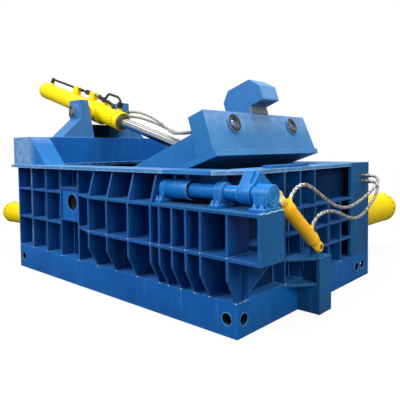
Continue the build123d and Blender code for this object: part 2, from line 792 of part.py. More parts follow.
def build_lid():
    """Press plate, side plates with hinge eyes, front beam, ribs and lugs."""
    top = lid_top_of_plate
    plate = block(lid_plate_start, lid_front + lid_lip, lid_near, lid_far, -lid_drop, top)
    save("lid_press_plate", on_lid(plate))

    arm = [(0, lid_arm_root), (beam_back, lid_arm_top), (beam_back, top), (lid_plate_start, top),
           (0, -lid_drop)]
    sides = []
    for y in (lid_near, lid_far - lid_side_plate):
        side = prism_y(arm, y, y + lid_side_plate)
        side += round_y(lid_eye_radius, y, y + lid_side_plate, 0, 0)
        side -= round_y(hinge_pin_radius + running_fit, y - overrun, y + lid_side_plate + overrun, 0, 0)
        side -= block(lid_plate_start, lid_plate_start + lid_eye_radius, y - overrun,
                      y + lid_side_plate + overrun, -lid_drop - overrun, top)
        sides.append(on_lid(side))
    save("lid_side_plates", *sides)

    beam = block(beam_back, lid_front, lid_near, lid_far, top, beam_top)
    beam -= block(beam_back + beam_plate, lid_front - beam_plate, lid_near + lid_side_plate,
                  lid_far - lid_side_plate - beam_far_rake, top - overrun, beam_top - beam_plate)
    rake = [(lid_far, top), (lid_far + overrun, top), (lid_far + overrun, beam_top + overrun),
            (lid_far - beam_far_rake, beam_top + overrun), (lid_far - beam_far_rake, beam_top)]
    beam -= prism_x(rake, beam_back - overrun, lid_front + overrun)
    for y in (mid_y - socket_spread, mid_y + socket_spread):
        beam -= round_x(socket_bore_radius, lid_front - beam_plate - overrun, lid_front + overrun,
                        y, socket_rise)
    save("lid_front_beam", on_lid(beam))

    sockets = []
    for y in (mid_y - socket_spread, mid_y + socket_spread):
        ring = round_x(socket_radius, lid_front, lid_front + socket_stand, y, socket_rise)
        ring -= round_x(socket_bore_radius, lid_front - overrun, lid_front + socket_stand + overrun,
                        y, socket_rise)
        sockets.append(on_lid(ring))
    save("lock_sockets", *sockets)

    ribs = []
    for share in lid_rib_shares:
        y = mid_y + share * lid_width - rib_plate / 2
        ribs.append(on_lid(block(lid_plate_start, beam_back, y, y + rib_plate, top, lid_rib_top)))
    save("lid_ribs", *ribs)

    lugs = []
    for side in (-1, 1):
        inner = mid_y + side * (rod_eye_half_width + lug_gap)
        outer = inner + side * lug_plate
        y0, y1 = min(inner, outer), max(inner, outer)
        foot = [(lid_pin_along - lug_half_length, top), (lid_pin_along + lug_half_length, top),
                (lid_pin_along + lug_radius, lid_pin_rise), (lid_pin_along - lug_radius, lid_pin_rise)]
        lug = prism_y(foot, y0, y1) + round_y(lug_radius, y0, y1, lid_pin_along, lid_pin_rise)
        lug -= round_y(lid_pin_radius + lid_pin_play, y0 - overrun, y1 + overrun, lid_pin_along, lid_pin_rise)
        lugs.append(on_lid(lug))
    save("lid_lugs", *lugs)


def build_hook():
    """Lock hook over the front beam, and the bare pad in its throat."""
    y0, y1 = hook_near, hook_near + hook_width
    back, throat = lid_front - hook_back_setback, lid_front - hook_throat_setback
    outline = [(back, hook_leg_foot), (back, hook_shoulder), (lid_front - hook_slope_setback, hook_top),
               (lid_front + hook_nose_reach, hook_top), (hook_beak_along, hook_beak_top),
               (hook_beak_along, hook_beak_foot), (throat, hook_throat_top), (throat, beam_top),
               (beam_back, beam_top), (beam_back, hook_leg_foot)]
    save("lock_hook", on_lid(prism_y(outline, y0, y1)))
    pad = block(throat, throat + hook_pad_plate, y0, y1, beam_top, hook_throat_top)
    save("hook_pad", on_lid(pad))


def lid_pin_way():
    """Way from the trunnion to the rod pin at rest, along X and down."""
    pin = lid_point(lid_pin_along, mid_y, lid_pin_rise)
    return pin.X - trunnion_x, trunnion_z - pin.Z


def on_cylinder(shape):
    """Set a shape drawn along +X on the lid cylinder's line."""
    ahead, down = lid_pin_way()
    return Pos(trunnion_x, mid_y, trunnion_z) * Rot(0, math.degrees(math.atan2(down, ahead)), 0) * shape


def build_lid_cylinder():
    """Trunnion-mounted barrel, gland, rod and the pipe clamped along its top."""
    barrel = round_x(lid_barrel_radius, -lid_barrel_back, lid_barrel_front, 0, 0)
    edge = barrel.edges().filter_by(GeomType.CIRCLE).sort_by(Axis.X)[0]
    barrel = fillet(edge, lid_barrel_radius / 4)
    barrel += round_x(yoke_radius, -yoke_half_length, yoke_half_length, 0, 0)
    barrel += round_y(trunnion_radius, -tower_outer, tower_outer, 0, 0)
    barrel -= round_x(lid_bore_radius, -lid_barrel_back + barrel_end_wall, lid_barrel_front + overrun, 0, 0)
    save("lid_barrel", on_cylinder(barrel))

    gland = round_x(lid_gland_radius, lid_barrel_front, lid_barrel_front + lid_gland_length, 0, 0)
    gland += round_x(lid_bore_radius, lid_barrel_front - ram_gland_depth, lid_barrel_front, 0, 0)
    gland -= round_x(lid_rod_radius + running_fit, lid_barrel_front - ram_gland_depth - overrun,
                     lid_barrel_front + lid_gland_length + overrun, 0, 0)
    save("lid_gland", on_cylinder(gland))

    pin = math.hypot(*lid_pin_way())
    rod = round_x(lid_rod_radius, lid_piston_place, pin, 0, 0)
    rod += round_x(lid_bore_radius - slide_gap, lid_piston_place, lid_piston_place + lid_piston_length, 0, 0)
    rod += round_y(lid_rod_eye_radius, -rod_eye_half_width, rod_eye_half_width, pin, 0)
    pin_half = rod_eye_half_width + lug_gap + lug_plate + lug_gap
    rod += round_y(lid_pin_radius, -pin_half, pin_half, pin, 0)
    save("lid_rod", on_cylinder(rod))

    height = lid_barrel_radius + pipe_standoff
    start = -lid_barrel_back + pipe_back_inset
    path = FilletPolyline((start, 0, lid_barrel_radius), (start, 0, height), (pipe_front_place, 0, height),
                          (pipe_loop_start, 0, pipe_loop_height), (pipe_loop_end, 0, pipe_loop_height),
                          (pipe_port_place, 0, pipe_port_rise), (pipe_port_place, 0, lid_barrel_radius),
                          radius=pipe_bend_radius / 2)
    pipe = sweep((path ^ 0) * Circle(pipe_radius), path=path)
    saddle = round_x(lid_barrel_radius, -lid_barrel_back, lid_barrel_front, 0, 0)
    saddle += round_x(yoke_radius, -yoke_half_length, yoke_half_length, 0, 0)
    save("lid_pipe", on_cylinder(pipe - saddle))
    clamps = []
    for place in clamp_places:
        clamp = block(place - clamp_length / 2, place + clamp_length / 2, -clamp_width / 2, clamp_width / 2,
                      0, height + clamp_crown)
        clamp -= saddle
        clamp -= round_x(pipe_radius + running_fit, place - clamp_length, place + clamp_length, 0, height)
        clamps.append(on_cylinder(clamp))
    save("pipe_clamps", *clamps)


def build_tipper():
    """Shaft, swinging flap with its drum, and the crank at the right end."""
    spans = bearing_spans()
    left = spans[0][0] + drum_gap
    right = shelf_right - end_bearing_wall - drum_gap
    save("tipper_shaft", round_x(shaft_radius, left, right, shaft_y, shaft_z))
    bore = round_x(shaft_radius + running_fit, -half_length, shelf_right + overrun, shaft_y, shaft_z)

    drum_left = spans[0][1] + drum_gap
    flap = round_x(bearing_radius, drum_left, drum_left + drum_length, shaft_y, shaft_z)
    low = shaft_z - flap_below_shaft
    drum_right = drum_left + drum_length
    for x in (drum_left + flap_web_insets[0], drum_right - flap_web_insets[1] - flap_web):
        flap += block(x, x + flap_web, shaft_y, front_outer, shaft_z, wall_top)
    flap += block(flap_left, flap_right, front_outer, front_inner, low, wall_top)
    flap += block(flap_left, flap_right, -half_width - rim_overhang, front_inner, wall_top, rim_top)
    save("tipper_flap", flap - bore)

    apex_y, apex_z = shaft_y + crank_apex_reach, shaft_z + crank_apex_rise
    tip = crank_pin_radius + crank_pin_play + crank_rim
    crank = round_x(hub_radius, hub_left, crank_right, shaft_y, shaft_z)
    outline = [(shaft_y - hub_radius, shaft_z), (apex_y, apex_z),
               (crank_pin_y + tip / 2, crank_pin_z + tip / 2), (crank_pin_y, crank_pin_z - tip),
               (shaft_y, shaft_z - hub_radius)]
    crank += prism_x(outline, crank_left, crank_right)
    crank += round_x(tip, crank_left, crank_right, crank_pin_y, crank_pin_z)
    foot_y, foot_z = shaft_y - hub_radius / 2, shaft_z + hub_radius / 2
    arm = [(foot_y - arm_plate / 2, foot_z), (foot_y + arm_plate, foot_z), (apex_y, apex_z),
           (apex_y - arm_plate, apex_z)]
    crank += prism_x(arm, hub_left, crank_left)
    window = crank_pin_radius + crank_pin_play
    crank -= round_x(window, crank_left - overrun, crank_right + overrun, crank_pin_y, crank_pin_z)
    save("tipper_crank", crank - bore)


def on_tipper_cylinder(shape):
    """Set a shape drawn along +Z from the foot pin on the tipper cylinder's line."""
    lean = math.degrees(math.atan2(foot_pin_y - crank_pin_y, crank_pin_z - foot_pin_height))
    return Pos(tipper_x, foot_pin_y, foot_pin_height) * Rot(lean, 0, 0) * shape


def build_tipper_cylinder():
    """Small cylinder that turns the crank."""
    start, end = tipper_barrel_start, tipper_barrel_end
    barrel = Pos(0, 0, start) * Rot(180, 0, 0) * Pos(0, 0, start - end) * domed_barrel(
        tipper_barrel_radius, end - start)
    barrel += round_x(tipper_eye_radius, -tipper_eye_half, tipper_eye_half, 0, 0)
    barrel += block(-tipper_eye_half, tipper_eye_half, -tipper_eye_radius, tipper_eye_radius, 0,
                    start + tipper_barrel_radius)
    for place in (lower_port_place, upper_port_place):
        barrel += round_y(port_radius, 0, tipper_barrel_radius + port_length, 0, place)
    barrel -= round_z(tipper_bore_radius, start + barrel_end_wall, end - tipper_rod_neck, 0, 0)
    barrel -= round_z(tipper_rod_radius + running_fit, end - 2 * tipper_rod_neck, end + overrun, 0, 0)
    eye_cut = tipper_eye_half + overrun
    barrel -= round_x(foot_pin_radius + running_fit, -eye_cut, eye_cut, 0, 0)
    save("tipper_barrel", on_tipper_cylinder(barrel))

    pin = math.hypot(foot_pin_y - crank_pin_y, crank_pin_z - foot_pin_height)
    rod = round_z(tipper_rod_radius, tipper_piston_place, pin, 0, 0)
    rod += round_z(tipper_bore_radius - slide_gap, tipper_piston_place,
                   tipper_piston_place + tipper_piston_length, 0, 0)
    rod += round_x(rod_eye_radius, -rod_eye_half, rod_eye_half, 0, pin)
    rod += round_x(crank_pin_radius, crank_left - crank_pin_stub - tipper_x, 0, 0, pin)
    save("tipper_rod", on_tipper_cylinder(rod))


# Hose routes between two leads: share of the way, side bulge and sag, as shares of the distance
upper_tipper_shares = (
    (0.0167, 0.0312, 0.0143), (0.0512, 0.0428, 0.0385), (0.1111, 0.0379, 0.0735),
    (0.1922, 0.0255, 0.1077), (0.2835, 0.016, 0.1348), (0.3901, 0.0144, 0.151), (0.5174, 0.0195, 0.1419),
    (0.6558, 0.0255, 0.1026), (0.7705, 0.0299, 0.0488), (0.8618, 0.0325, 0.005),
    (0.9236, 0.0316, -0.0188), (0.9652, 0.0228, -0.0256),
)
lower_tipper_shares = (
    (0.0199, 0.0351, 0.0175), (0.0585, 0.0496, 0.0528), (0.1151, 0.0434, 0.1041),
    (0.1988, 0.0317, 0.1495), (0.3017, 0.026, 0.1764), (0.4304, 0.0235, 0.1686),
    (0.5848, 0.0333, 0.1107), (0.7263, 0.0407, 0.0423), (0.8485, 0.0409, -0.0076),
    (0.9386, 0.0329, -0.0266),
)
near_lid_shares = (
    (0.0093, 0.0721, 0.0086), (0.0352, 0.1365, 0.0299), (0.0778, 0.1783, 0.0525),
    (0.1333, 0.2011, 0.0734), (0.2074, 0.2034, 0.0894), (0.3056, 0.1802, 0.0949),
    (0.4259, 0.1405, 0.0876), (0.5741, 0.0938, 0.0707), (0.7222, 0.0509, 0.0509),
    (0.8611, 0.009, 0.0323), (0.9537, -0.0092, 0.0187),
)
far_lid_shares = (
    (0.0083, 0.0745, 0.0121), (0.0292, 0.1448, 0.0322), (0.0625, 0.1961, 0.0508),
    (0.1146, 0.2226, 0.0665), (0.1771, 0.2357, 0.078), (0.2708, 0.2198, 0.0815),
    (0.3958, 0.1787, 0.0763), (0.5417, 0.1295, 0.0634), (0.6875, 0.0841, 0.0475),
    (0.8438, 0.0252, 0.0311), (0.9479, -0.004, 0.0185),
)


def lid_point(along, y, rise):
    """A point given in the lid's frame, as the lid stands at rest."""
    angle = math.radians(lid_rest_angle)
    return Vector(hinge_x + along * math.cos(angle) - rise * math.sin(angle), y,
                  hinge_z + along * math.sin(angle) + rise * math.cos(angle))


def tipper_port(place):
    """End of a port on the tipper cylinder, and the way that it points."""
    lean = math.atan2(foot_pin_y - crank_pin_y, crank_pin_z - foot_pin_height)
    out = Vector(0, math.cos(lean), math.sin(lean))
    foot = Vector(tipper_x, foot_pin_y, foot_pin_height)
    along = Vector(0, -math.sin(lean), math.cos(lean))
    return foot + along * place + out * (tipper_barrel_radius + port_length), out


def route(start, start_way, end, end_way, shares):
    """Control points from one fitting to another, led out straight at both ends."""
    first, last = start + start_way * hose_lead, end + end_way * hose_lead
    chord = last - first
    points = [start, first]
    for share, bulge, sag in shares:
        points.append(first + chord * share + Vector(1, 0, 0) * (bulge * chord.length)
                      - Vector(0, 0, 1) * (sag * chord.length))
    return points + [last, end]


def hose(node, points):
    """Hose along straight runs joined by the largest arcs that they allow."""
    radii = []
    for before, here, after in zip(points, points[1:], points[2:]):
        turn = math.radians((here - before).get_angle(after - here))
        shorter = min((here - before).length, (after - here).length)
        radii.append(arc_share * shorter / math.tan(turn / 2))
    path = FilletPolyline(*points, radius=radii)
    tube = sweep((path ^ 0) * Circle(hose_radius), path=path)
    expected = math.pi * hose_radius ** 2 * path.length
    print(node, "length", round(path.length), "radii", [round(radius) for radius in radii],
          "volume ratio", round(tube.volume / expected, 4))
    save(node, tube)


def build_hoses():
    """The four hoses and the nipples that they leave from."""
    right = Vector(1, 0, 0)
    angle = math.radians(lid_rest_angle)
    lid_way = Vector(-math.cos(angle), 0, -math.sin(angle))
    tower_face = trunnion_x + tower_half_length
    corner_y = half_width - bulkhead_inset
    tower_y = mid_y + tower_fitting_offset
    fixed = []
    lower_bulkhead, lower_tower = bulkhead_height - bulkhead_step, tower_fitting_z - bulkhead_step
    tipper_runs = (("tipper_hose_upper", bulkhead_height, upper_port_place, upper_tipper_shares),
                   ("tipper_hose_lower", lower_bulkhead, lower_port_place, lower_tipper_shares))
    for node, height, place, shares in tipper_runs:
        end, end_way = tipper_port(place)
        fixed.append(round_x(fitting_radius, half_length, half_length + fitting_length, corner_y, height))
        start = Vector(half_length + fitting_length, corner_y, height)
        hose(node, route(start, right, end, end_way, shares))
    save("frame_fittings", *fixed, *[
        round_x(fitting_radius, tower_face, tower_face + fitting_length, tower_y, z)
        for z in (tower_fitting_z, lower_tower)])
    lid_fittings = []
    lid_runs = (("lid_hose_near", tower_fitting_z, near_lid_fitting_inset, near_lid_shares),
                ("lid_hose_far", lower_tower, far_lid_fitting_inset, far_lid_shares))
    for node, z, inset, shares in lid_runs:
        start = Vector(tower_face + fitting_length, tower_y, z)
        y = lid_near + inset
        end = lid_point(beam_back - fitting_length, y, lid_fitting_rise)
        hose(node, route(start, right, end, lid_way, shares))
        lid_fittings.append(on_lid(round_x(fitting_radius, beam_back - fitting_length, beam_back, y,
                                           lid_fitting_rise)))
    save("lid_fittings", *lid_fittings)


os.makedirs("parts", exist_ok=True)
build_base()
build_walls()
build_rim()
build_front_grid()
build_shelf()
build_right_grid()
build_back_and_left()
build_foot_bracket()
build_headstock()
build_bearings()
build_rams()
build_lid()
build_hook()
build_lid_cylinder()
build_tipper()
build_tipper_cylinder()
build_hoses()
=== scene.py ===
"""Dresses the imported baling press: paint, welds, bolts, pipework, bearings and hoses."""
import json
import logging
import math
from dataclasses import dataclass, field
from enum import Enum
from typing import Any, Iterable, Sequence

import bmesh
import bpy
from mathutils import Matrix, Vector


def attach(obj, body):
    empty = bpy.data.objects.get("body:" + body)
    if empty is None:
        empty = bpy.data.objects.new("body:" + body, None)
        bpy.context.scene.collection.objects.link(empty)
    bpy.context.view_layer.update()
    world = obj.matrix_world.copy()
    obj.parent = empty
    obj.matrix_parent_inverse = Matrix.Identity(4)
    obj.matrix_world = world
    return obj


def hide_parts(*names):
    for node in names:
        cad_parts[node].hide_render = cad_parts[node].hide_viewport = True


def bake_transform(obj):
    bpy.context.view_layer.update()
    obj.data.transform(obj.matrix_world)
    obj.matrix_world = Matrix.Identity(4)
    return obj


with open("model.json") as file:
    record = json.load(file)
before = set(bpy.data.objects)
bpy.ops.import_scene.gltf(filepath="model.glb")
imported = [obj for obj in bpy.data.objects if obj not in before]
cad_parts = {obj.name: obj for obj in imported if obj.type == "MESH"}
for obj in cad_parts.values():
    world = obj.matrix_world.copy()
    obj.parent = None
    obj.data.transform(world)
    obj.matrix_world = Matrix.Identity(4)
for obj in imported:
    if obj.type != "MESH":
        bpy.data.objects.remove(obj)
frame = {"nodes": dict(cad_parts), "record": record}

LOG = logging.getLogger("baling_press")
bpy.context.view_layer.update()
Point = tuple[float, float, float]
MM = 0.001


class Slot(Enum):
    """Material slots of the record."""

    BLUE = "blue_enamel"
    STEEL = "bare_steel"
    CHROME = "chrome"
    YELLOW = "yellow_enamel"
    AMBER = "amber_enamel"
    OLIVE = "olive_steel"
    BLACK = "black_steel"
    FITTING = "plated_fitting"
    BRAID = "hose_braid"


class Body(Enum):
    """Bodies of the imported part."""

    FRAME = "frame"
    LID = "lid"
    LID_CYLINDER = "lid_cylinder"
    TIPPER = "tipper"
    TIPPER_CYLINDER = "tipper_cylinder"
    TIPPER_PISTON = "tipper_piston"


class Bead(Enum):
    """Radii of weld beads, in metres."""

    FINE = 0.006
    LIGHT = 0.007
    EVEN = 0.008
    HEAVY = 0.009
    FULL = 0.010


class Bolt(Enum):
    """Hexagon heads: corner radius and height in metres, and washer radius in head radii."""

    GLAND = (0.0105, 0.010, 1.2)
    CLAMP = (0.010, 0.009, 1.3)
    FLANGE = (0.017, 0.018, 1.3)
    FOOT = (0.017, 0.018, 1.35)
    KEEPER = (0.017, 0.012, 1.2)


def linear(colour: str) -> tuple[float, float, float, float]:
    """Turns an sRGB hex colour to linear light.

    Args:
        colour: Six hex digits after a hash.

    Returns:
        Red, green, blue and an alpha of one.
    """
    parts = [int(colour[i:i + 2], 16) / 255 for i in (1, 3, 5)]
    red, green, blue = (c / 12.92 if c <= 0.04045 else ((c + 0.055) / 1.055) ** 2.4 for c in parts)
    return red, green, blue, 1.0


def add_node(tree: bpy.types.NodeTree, kind: str, settings: dict[str, Any] | None = None,
             inputs: dict[Any, Any] | None = None) -> bpy.types.Node:
    """Adds one node with its settings, values and links.

    Args:
        tree: Node tree that takes the node.
        kind: Blender's type name of the node.
        settings: Attributes to set on the node.
        inputs: Socket name or number, with a value or another node's output.

    Returns:
        The new node.
    """
    node = tree.nodes.new(kind)
    for key, value in (settings or {}).items():
        setattr(node, key, value)
    for key, value in (inputs or {}).items():
        if isinstance(value, bpy.types.NodeSocket):
            tree.links.new(value, node.inputs[key])
        else:
            node.inputs[key].default_value = value
    return node


def start_material(name: str) -> tuple[bpy.types.Material, bpy.types.NodeTree, bpy.types.Node]:
    """Starts a material with a bare principled shader.

    Args:
        name: Name of the finish.

    Returns:
        The material, its tree and its shader.
    """
    material = bpy.data.materials.new(name)
    material.use_nodes = True
    tree = material.node_tree
    tree.nodes.clear()
    shader = add_node(tree, "ShaderNodeBsdfPrincipled")
    add_node(tree, "ShaderNodeOutputMaterial", inputs={"Surface": shader.outputs[0]})
    return material, tree, shader


def noise(tree: bpy.types.NodeTree, place: bpy.types.NodeSocket, size_mm: float, detail: float = 2.0,
          roughness: float = 0.5) -> bpy.types.NodeSocket:
    """Adds a noise pattern.

    Args:
        tree: Node tree that takes it.
        place: Coordinates in metres.
        size_mm: Size of its blotches on the real press.
        detail: Octaves of finer noise.
        roughness: Weight of the finer noise.

    Returns:
        The pattern, one half on average.
    """
    pattern = add_node(tree, "ShaderNodeTexNoise", inputs={
        "Vector": place, "Scale": 1 / (size_mm * MM), "Detail": detail, "Roughness": roughness})
    return pattern.outputs["Fac"]


def ramp(tree: bpy.types.NodeTree, value: bpy.types.NodeSocket, start: float, stop: float, low: float = 0.0,
         high: float = 1.0) -> bpy.types.NodeSocket:
    """Maps one range of values to another, and holds the ends.

    Args:
        tree: Node tree that takes it.
        value: Value to map.
        start: Value that gives the low end.
        stop: Value that gives the high end.
        low: Result at the start.
        high: Result at the stop.

    Returns:
        The mapped value.
    """
    return add_node(tree, "ShaderNodeMapRange", inputs={
        "Value": value, "From Min": start, "From Max": stop, "To Min": low, "To Max": high}).outputs[0]


def calc(tree: bpy.types.NodeTree, operation: str,
         *values: bpy.types.NodeSocket | float) -> bpy.types.NodeSocket:
    """Adds one arithmetic step.

    Args:
        tree: Node tree that takes it.
        operation: Blender's name of the step.
        values: One or two values.

    Returns:
        The result.
    """
    return add_node(tree, "ShaderNodeMath", {"operation": operation}, dict(enumerate(values))).outputs[0]


def mixed(tree: bpy.types.NodeTree, share: bpy.types.NodeSocket, first: str | bpy.types.NodeSocket,
          second: str | bpy.types.NodeSocket) -> bpy.types.NodeSocket:
    """Mixes two colours.

    Args:
        tree: Node tree that takes the mix.
        share: Share of the second colour.
        first: Colour at zero, as hex digits or from a node.
        second: Colour at one, as hex digits or from a node.

    Returns:
        The mixed colour.
    """
    ends = [linear(colour) if isinstance(colour, str) else colour for colour in (first, second)]
    mix = add_node(tree, "ShaderNodeMix", {"data_type": "RGBA"}, {0: share, 6: ends[0], 7: ends[1]})
    return mix.outputs[2]


def bumped(tree: bpy.types.NodeTree, shader: bpy.types.Node, height: bpy.types.NodeSocket, depth_mm: float,
           strength: float) -> None:
    """Gives a shader a fine relief.

    Args:
        tree: Node tree of the shader.
        shader: Shader that takes the relief.
        height: Height pattern.
        depth_mm: Depth of the relief.
        strength: Share of it that shows.
    """
    bump = add_node(tree, "ShaderNodeBump", inputs={
        "Strength": strength, "Distance": depth_mm * MM, "Height": height})
    tree.links.new(bump.outputs[0], shader.inputs["Normal"])


@dataclass(frozen=True)
class Enamel:
    """Alkyd enamel sprayed over hot-rolled plate: soft orange peel, chips, dust and worn edges, and boxed
    patches of wear, of painted shade and of painted highlight.
    """

    name: str
    colour: str
    shade: str
    worn: str
    dirt: str = "#20364E"
    dust: str = "#5C95CC"
    primer: str = "#23282E"
    roughness: float = 0.42
    specular: float = 0.2
    peel_mm: float = 14.0
    peel_depth_mm: float = 1.2
    patch_mm: float = 520.0
    streak_mm: float = 45.0
    grime_mm: float = 90.0
    chip_mm: float = 60.0
    chip_radius_share: float = 0.085
    chip_share: float = 0.5
    edge_mm: float = 7.0
    edge_share: float = 0.55
    dirt_height_mm: float = 260.0
    wear_and_painted_light_box: tuple[Point, Point] | None = None
    wear_and_painted_light: str = "#8FA6BF"
    flank: str | None = None

    def material(self) -> bpy.types.Material:
        """Builds the paint's nodes."""
        material, tree, shader = start_material(self.name)
        place = add_node(tree, "ShaderNodeTexCoord").outputs["Object"]
        normal = add_node(tree, "ShaderNodeNewGeometry").outputs["Normal"]
        axes = add_node(tree, "ShaderNodeSeparateXYZ", inputs={0: place})
        facing = add_node(tree, "ShaderNodeSeparateXYZ", inputs={0: normal})
        cloud = noise(tree, place, self.patch_mm, 3.0, 0.55)
        grime = noise(tree, place, self.grime_mm, 5.0, 0.65)
        colour = self.sprayed(tree, place, cloud)
        colour = self.soiled(tree, axes, grime, colour)
        colour = self.chipped(tree, place, grime, colour)
        colour = self.edged(tree, normal, colour)
        colour = self.dusted(tree, facing, cloud, colour)
        if self.wear_and_painted_light_box is not None:
            colour = self.add_wear_and_painted_light(tree, axes, grime, colour)
        if self.flank is not None:
            colour = self.flanked(tree, facing, colour)
        tree.links.new(colour, shader.inputs["Base Color"])
        gloss = ramp(tree, grime, 0.3, 0.75, self.roughness - 0.06, self.roughness + 0.14)
        tree.links.new(gloss, shader.inputs["Roughness"])
        shader.inputs["Specular IOR Level"].default_value = self.specular
        bumped(tree, shader, noise(tree, place, self.peel_mm), self.peel_depth_mm, 0.12)
        return material

    def sprayed(self, tree: bpy.types.NodeTree, place: bpy.types.NodeSocket,
                cloud: bpy.types.NodeSocket) -> bpy.types.NodeSocket:
        """Gives the cloudy tone of a hand-sprayed coat, with runs and rain marks drawn out along the height.

        Args:
            tree: The paint's tree.
            place: Object coordinates.
            cloud: Broad noise.

        Returns:
            Colour of the coat.
        """
        paint = mixed(tree, ramp(tree, cloud, 0.35, 0.7), self.colour, self.shade)
        stretch = add_node(tree, "ShaderNodeMapping", inputs={"Vector": place, "Scale": (1.0, 1.0, 0.08)})
        streak = noise(tree, stretch.outputs[0], self.streak_mm)
        return mixed(tree, ramp(tree, streak, 0.56, 0.8, 0.0, 0.22), paint, self.worn)

    def soiled(self, tree: bpy.types.NodeTree, axes: bpy.types.Node, grime: bpy.types.NodeSocket,
               colour: bpy.types.NodeSocket) -> bpy.types.NodeSocket:
        """Adds the splash of workshop dirt near the ground.

        Args:
            tree: The paint's tree.
            axes: Node that splits the object coordinates.
            grime: Noise that breaks up the splash.
            colour: Colour before the dirt.

        Returns:
            Colour with the dirt.
        """
        low = ramp(tree, axes.outputs[2], self.dirt_height_mm * MM, 0.0, 0.0, 0.32)
        return mixed(tree, calc(tree, "MULTIPLY", low, grime), colour, self.dirt)

    def chipped(self, tree: bpy.types.NodeTree, place: bpy.types.NodeSocket, grime: bpy.types.NodeSocket,
                colour: bpy.types.NodeSocket) -> bpy.types.NodeSocket:
        """Adds small chips down to primer, in loose groups.

        Args:
            tree: The paint's tree.
            place: Object coordinates.
            grime: Noise that groups the chips.
            colour: Colour before the chips.

        Returns:
            Colour with the chips.
        """
        cells = add_node(tree, "ShaderNodeTexVoronoi", {"feature": "F1"}, {
            "Vector": place, "Scale": 1 / (self.chip_mm * MM), "Randomness": 1.0})
        spot = calc(tree, "LESS_THAN", cells.outputs["Distance"], self.chip_radius_share)
        group = ramp(tree, grime, 0.56, 0.6, 0.0, self.chip_share)
        return mixed(tree, calc(tree, "MULTIPLY", spot, group), colour, self.primer)

    def edged(self, tree: bpy.types.NodeTree, normal: bpy.types.NodeSocket,
              colour: bpy.types.NodeSocket) -> bpy.types.NodeSocket:
        """Pales the edges, where the coat has thinned; on the rim and the ribs the pale edges are partly a
        painted highlight.

        Args:
            tree: The paint's tree.
            normal: Surface normal.
            colour: Colour before the edges.

        Returns:
            Colour with worn edges.
        """
        rounded = add_node(tree, "ShaderNodeBevel", {"samples": 4}, {"Radius": self.edge_mm * MM})
        turn = add_node(tree, "ShaderNodeVectorMath", {"operation": "DOT_PRODUCT"}, {
            0: rounded.outputs[0], 1: normal})
        edge = ramp(tree, turn.outputs["Value"], 0.97, 0.8, 0.0, self.edge_share)
        return mixed(tree, edge, colour, self.worn)

    def dusted(self, tree: bpy.types.NodeTree, facing: bpy.types.Node, cloud: bpy.types.NodeSocket,
               colour: bpy.types.NodeSocket) -> bpy.types.NodeSocket:
        """Adds the dust that settles on level faces.

        Args:
            tree: The paint's tree.
            facing: Node that splits the surface normal.
            cloud: Broad noise that breaks up the dust.
            colour: Colour before the dust.

        Returns:
            Colour with the dust.
        """
        level = ramp(tree, facing.outputs[2], 0.7, 1.0, 0.0, 0.35)
        return mixed(tree, calc(tree, "MULTIPLY", level, cloud), colour, self.dust)

    def add_wear_and_painted_light(self, tree: bpy.types.NodeTree, axes: bpy.types.Node, grime: bpy.types.NodeSocket,
               colour: bpy.types.NodeSocket) -> bpy.types.NodeSocket:
        """Adds a patch inside a box: paint worn thin on the cheeks, painted shade on the rim, towers and
        hook, and a painted highlight on the lid's front and the tipper's flap.

        Args:
            tree: The paint's tree.
            axes: Node that splits the object coordinates.
            grime: Noise that breaks up the patch.
            colour: Colour before the patch.

        Returns:
            Colour with the patch.
        """
        patch = ramp(tree, grime, 0.22, 0.6, 0.0, 0.9)
        for axis, (low, high) in enumerate(zip(*self.wear_and_painted_light_box)):
            middle, half = (low + high) / 2, (high - low) / 2
            away = calc(tree, "ABSOLUTE", calc(tree, "SUBTRACT", axes.outputs[axis], middle))
            patch = calc(tree, "MULTIPLY", patch, ramp(tree, away, half, half * 0.45))
        return mixed(tree, patch, colour, self.wear_and_painted_light)

    def flanked(self, tree: bpy.types.NodeTree, facing: bpy.types.Node,
                colour: bpy.types.NodeSocket) -> bpy.types.NodeSocket:
        """Gives faces across Y the plain coat, without the painted highlight of the other faces; a part that
        swings about Y never turns them up.

        Args:
            tree: The paint's tree.
            facing: Node that splits the surface normal.
            colour: Colour of the other faces.

        Returns:
            Colour with plain flanks.
        """
        across = calc(tree, "ABSOLUTE", facing.outputs[1])
        return mixed(tree, ramp(tree, across, 0.8, 0.95, 0.0, 0.94), colour, self.flank)


@dataclass(frozen=True)
class Metal:
    """Bare or plated metal: fine tool marks, smudges in tone and gloss."""

    name: str
    colour: str
    shade: str
    roughness: float
    metallic: float = 1.0
    mark_mm: float = 3.0
    mark_depth_mm: float = 0.6
    mark_share: float = 0.06
    smudge_mm: float = 110.0

    def material(self) -> bpy.types.Material:
        """Builds the metal's nodes."""
        material, tree, shader = start_material(self.name)
        place = add_node(tree, "ShaderNodeTexCoord").outputs["Object"]
        smudge = noise(tree, place, self.smudge_mm, 4.0, 0.6)
        colour = mixed(tree, ramp(tree, smudge, 0.35, 0.7), self.colour, self.shade)
        tree.links.new(colour, shader.inputs["Base Color"])
        shader.inputs["Metallic"].default_value = self.metallic
        gloss = ramp(tree, smudge, 0.3, 0.75, self.roughness * 0.7, self.roughness * 1.4)
        tree.links.new(gloss, shader.inputs["Roughness"])
        bumped(tree, shader, noise(tree, place, self.mark_mm), self.mark_depth_mm, self.mark_share)
        return material


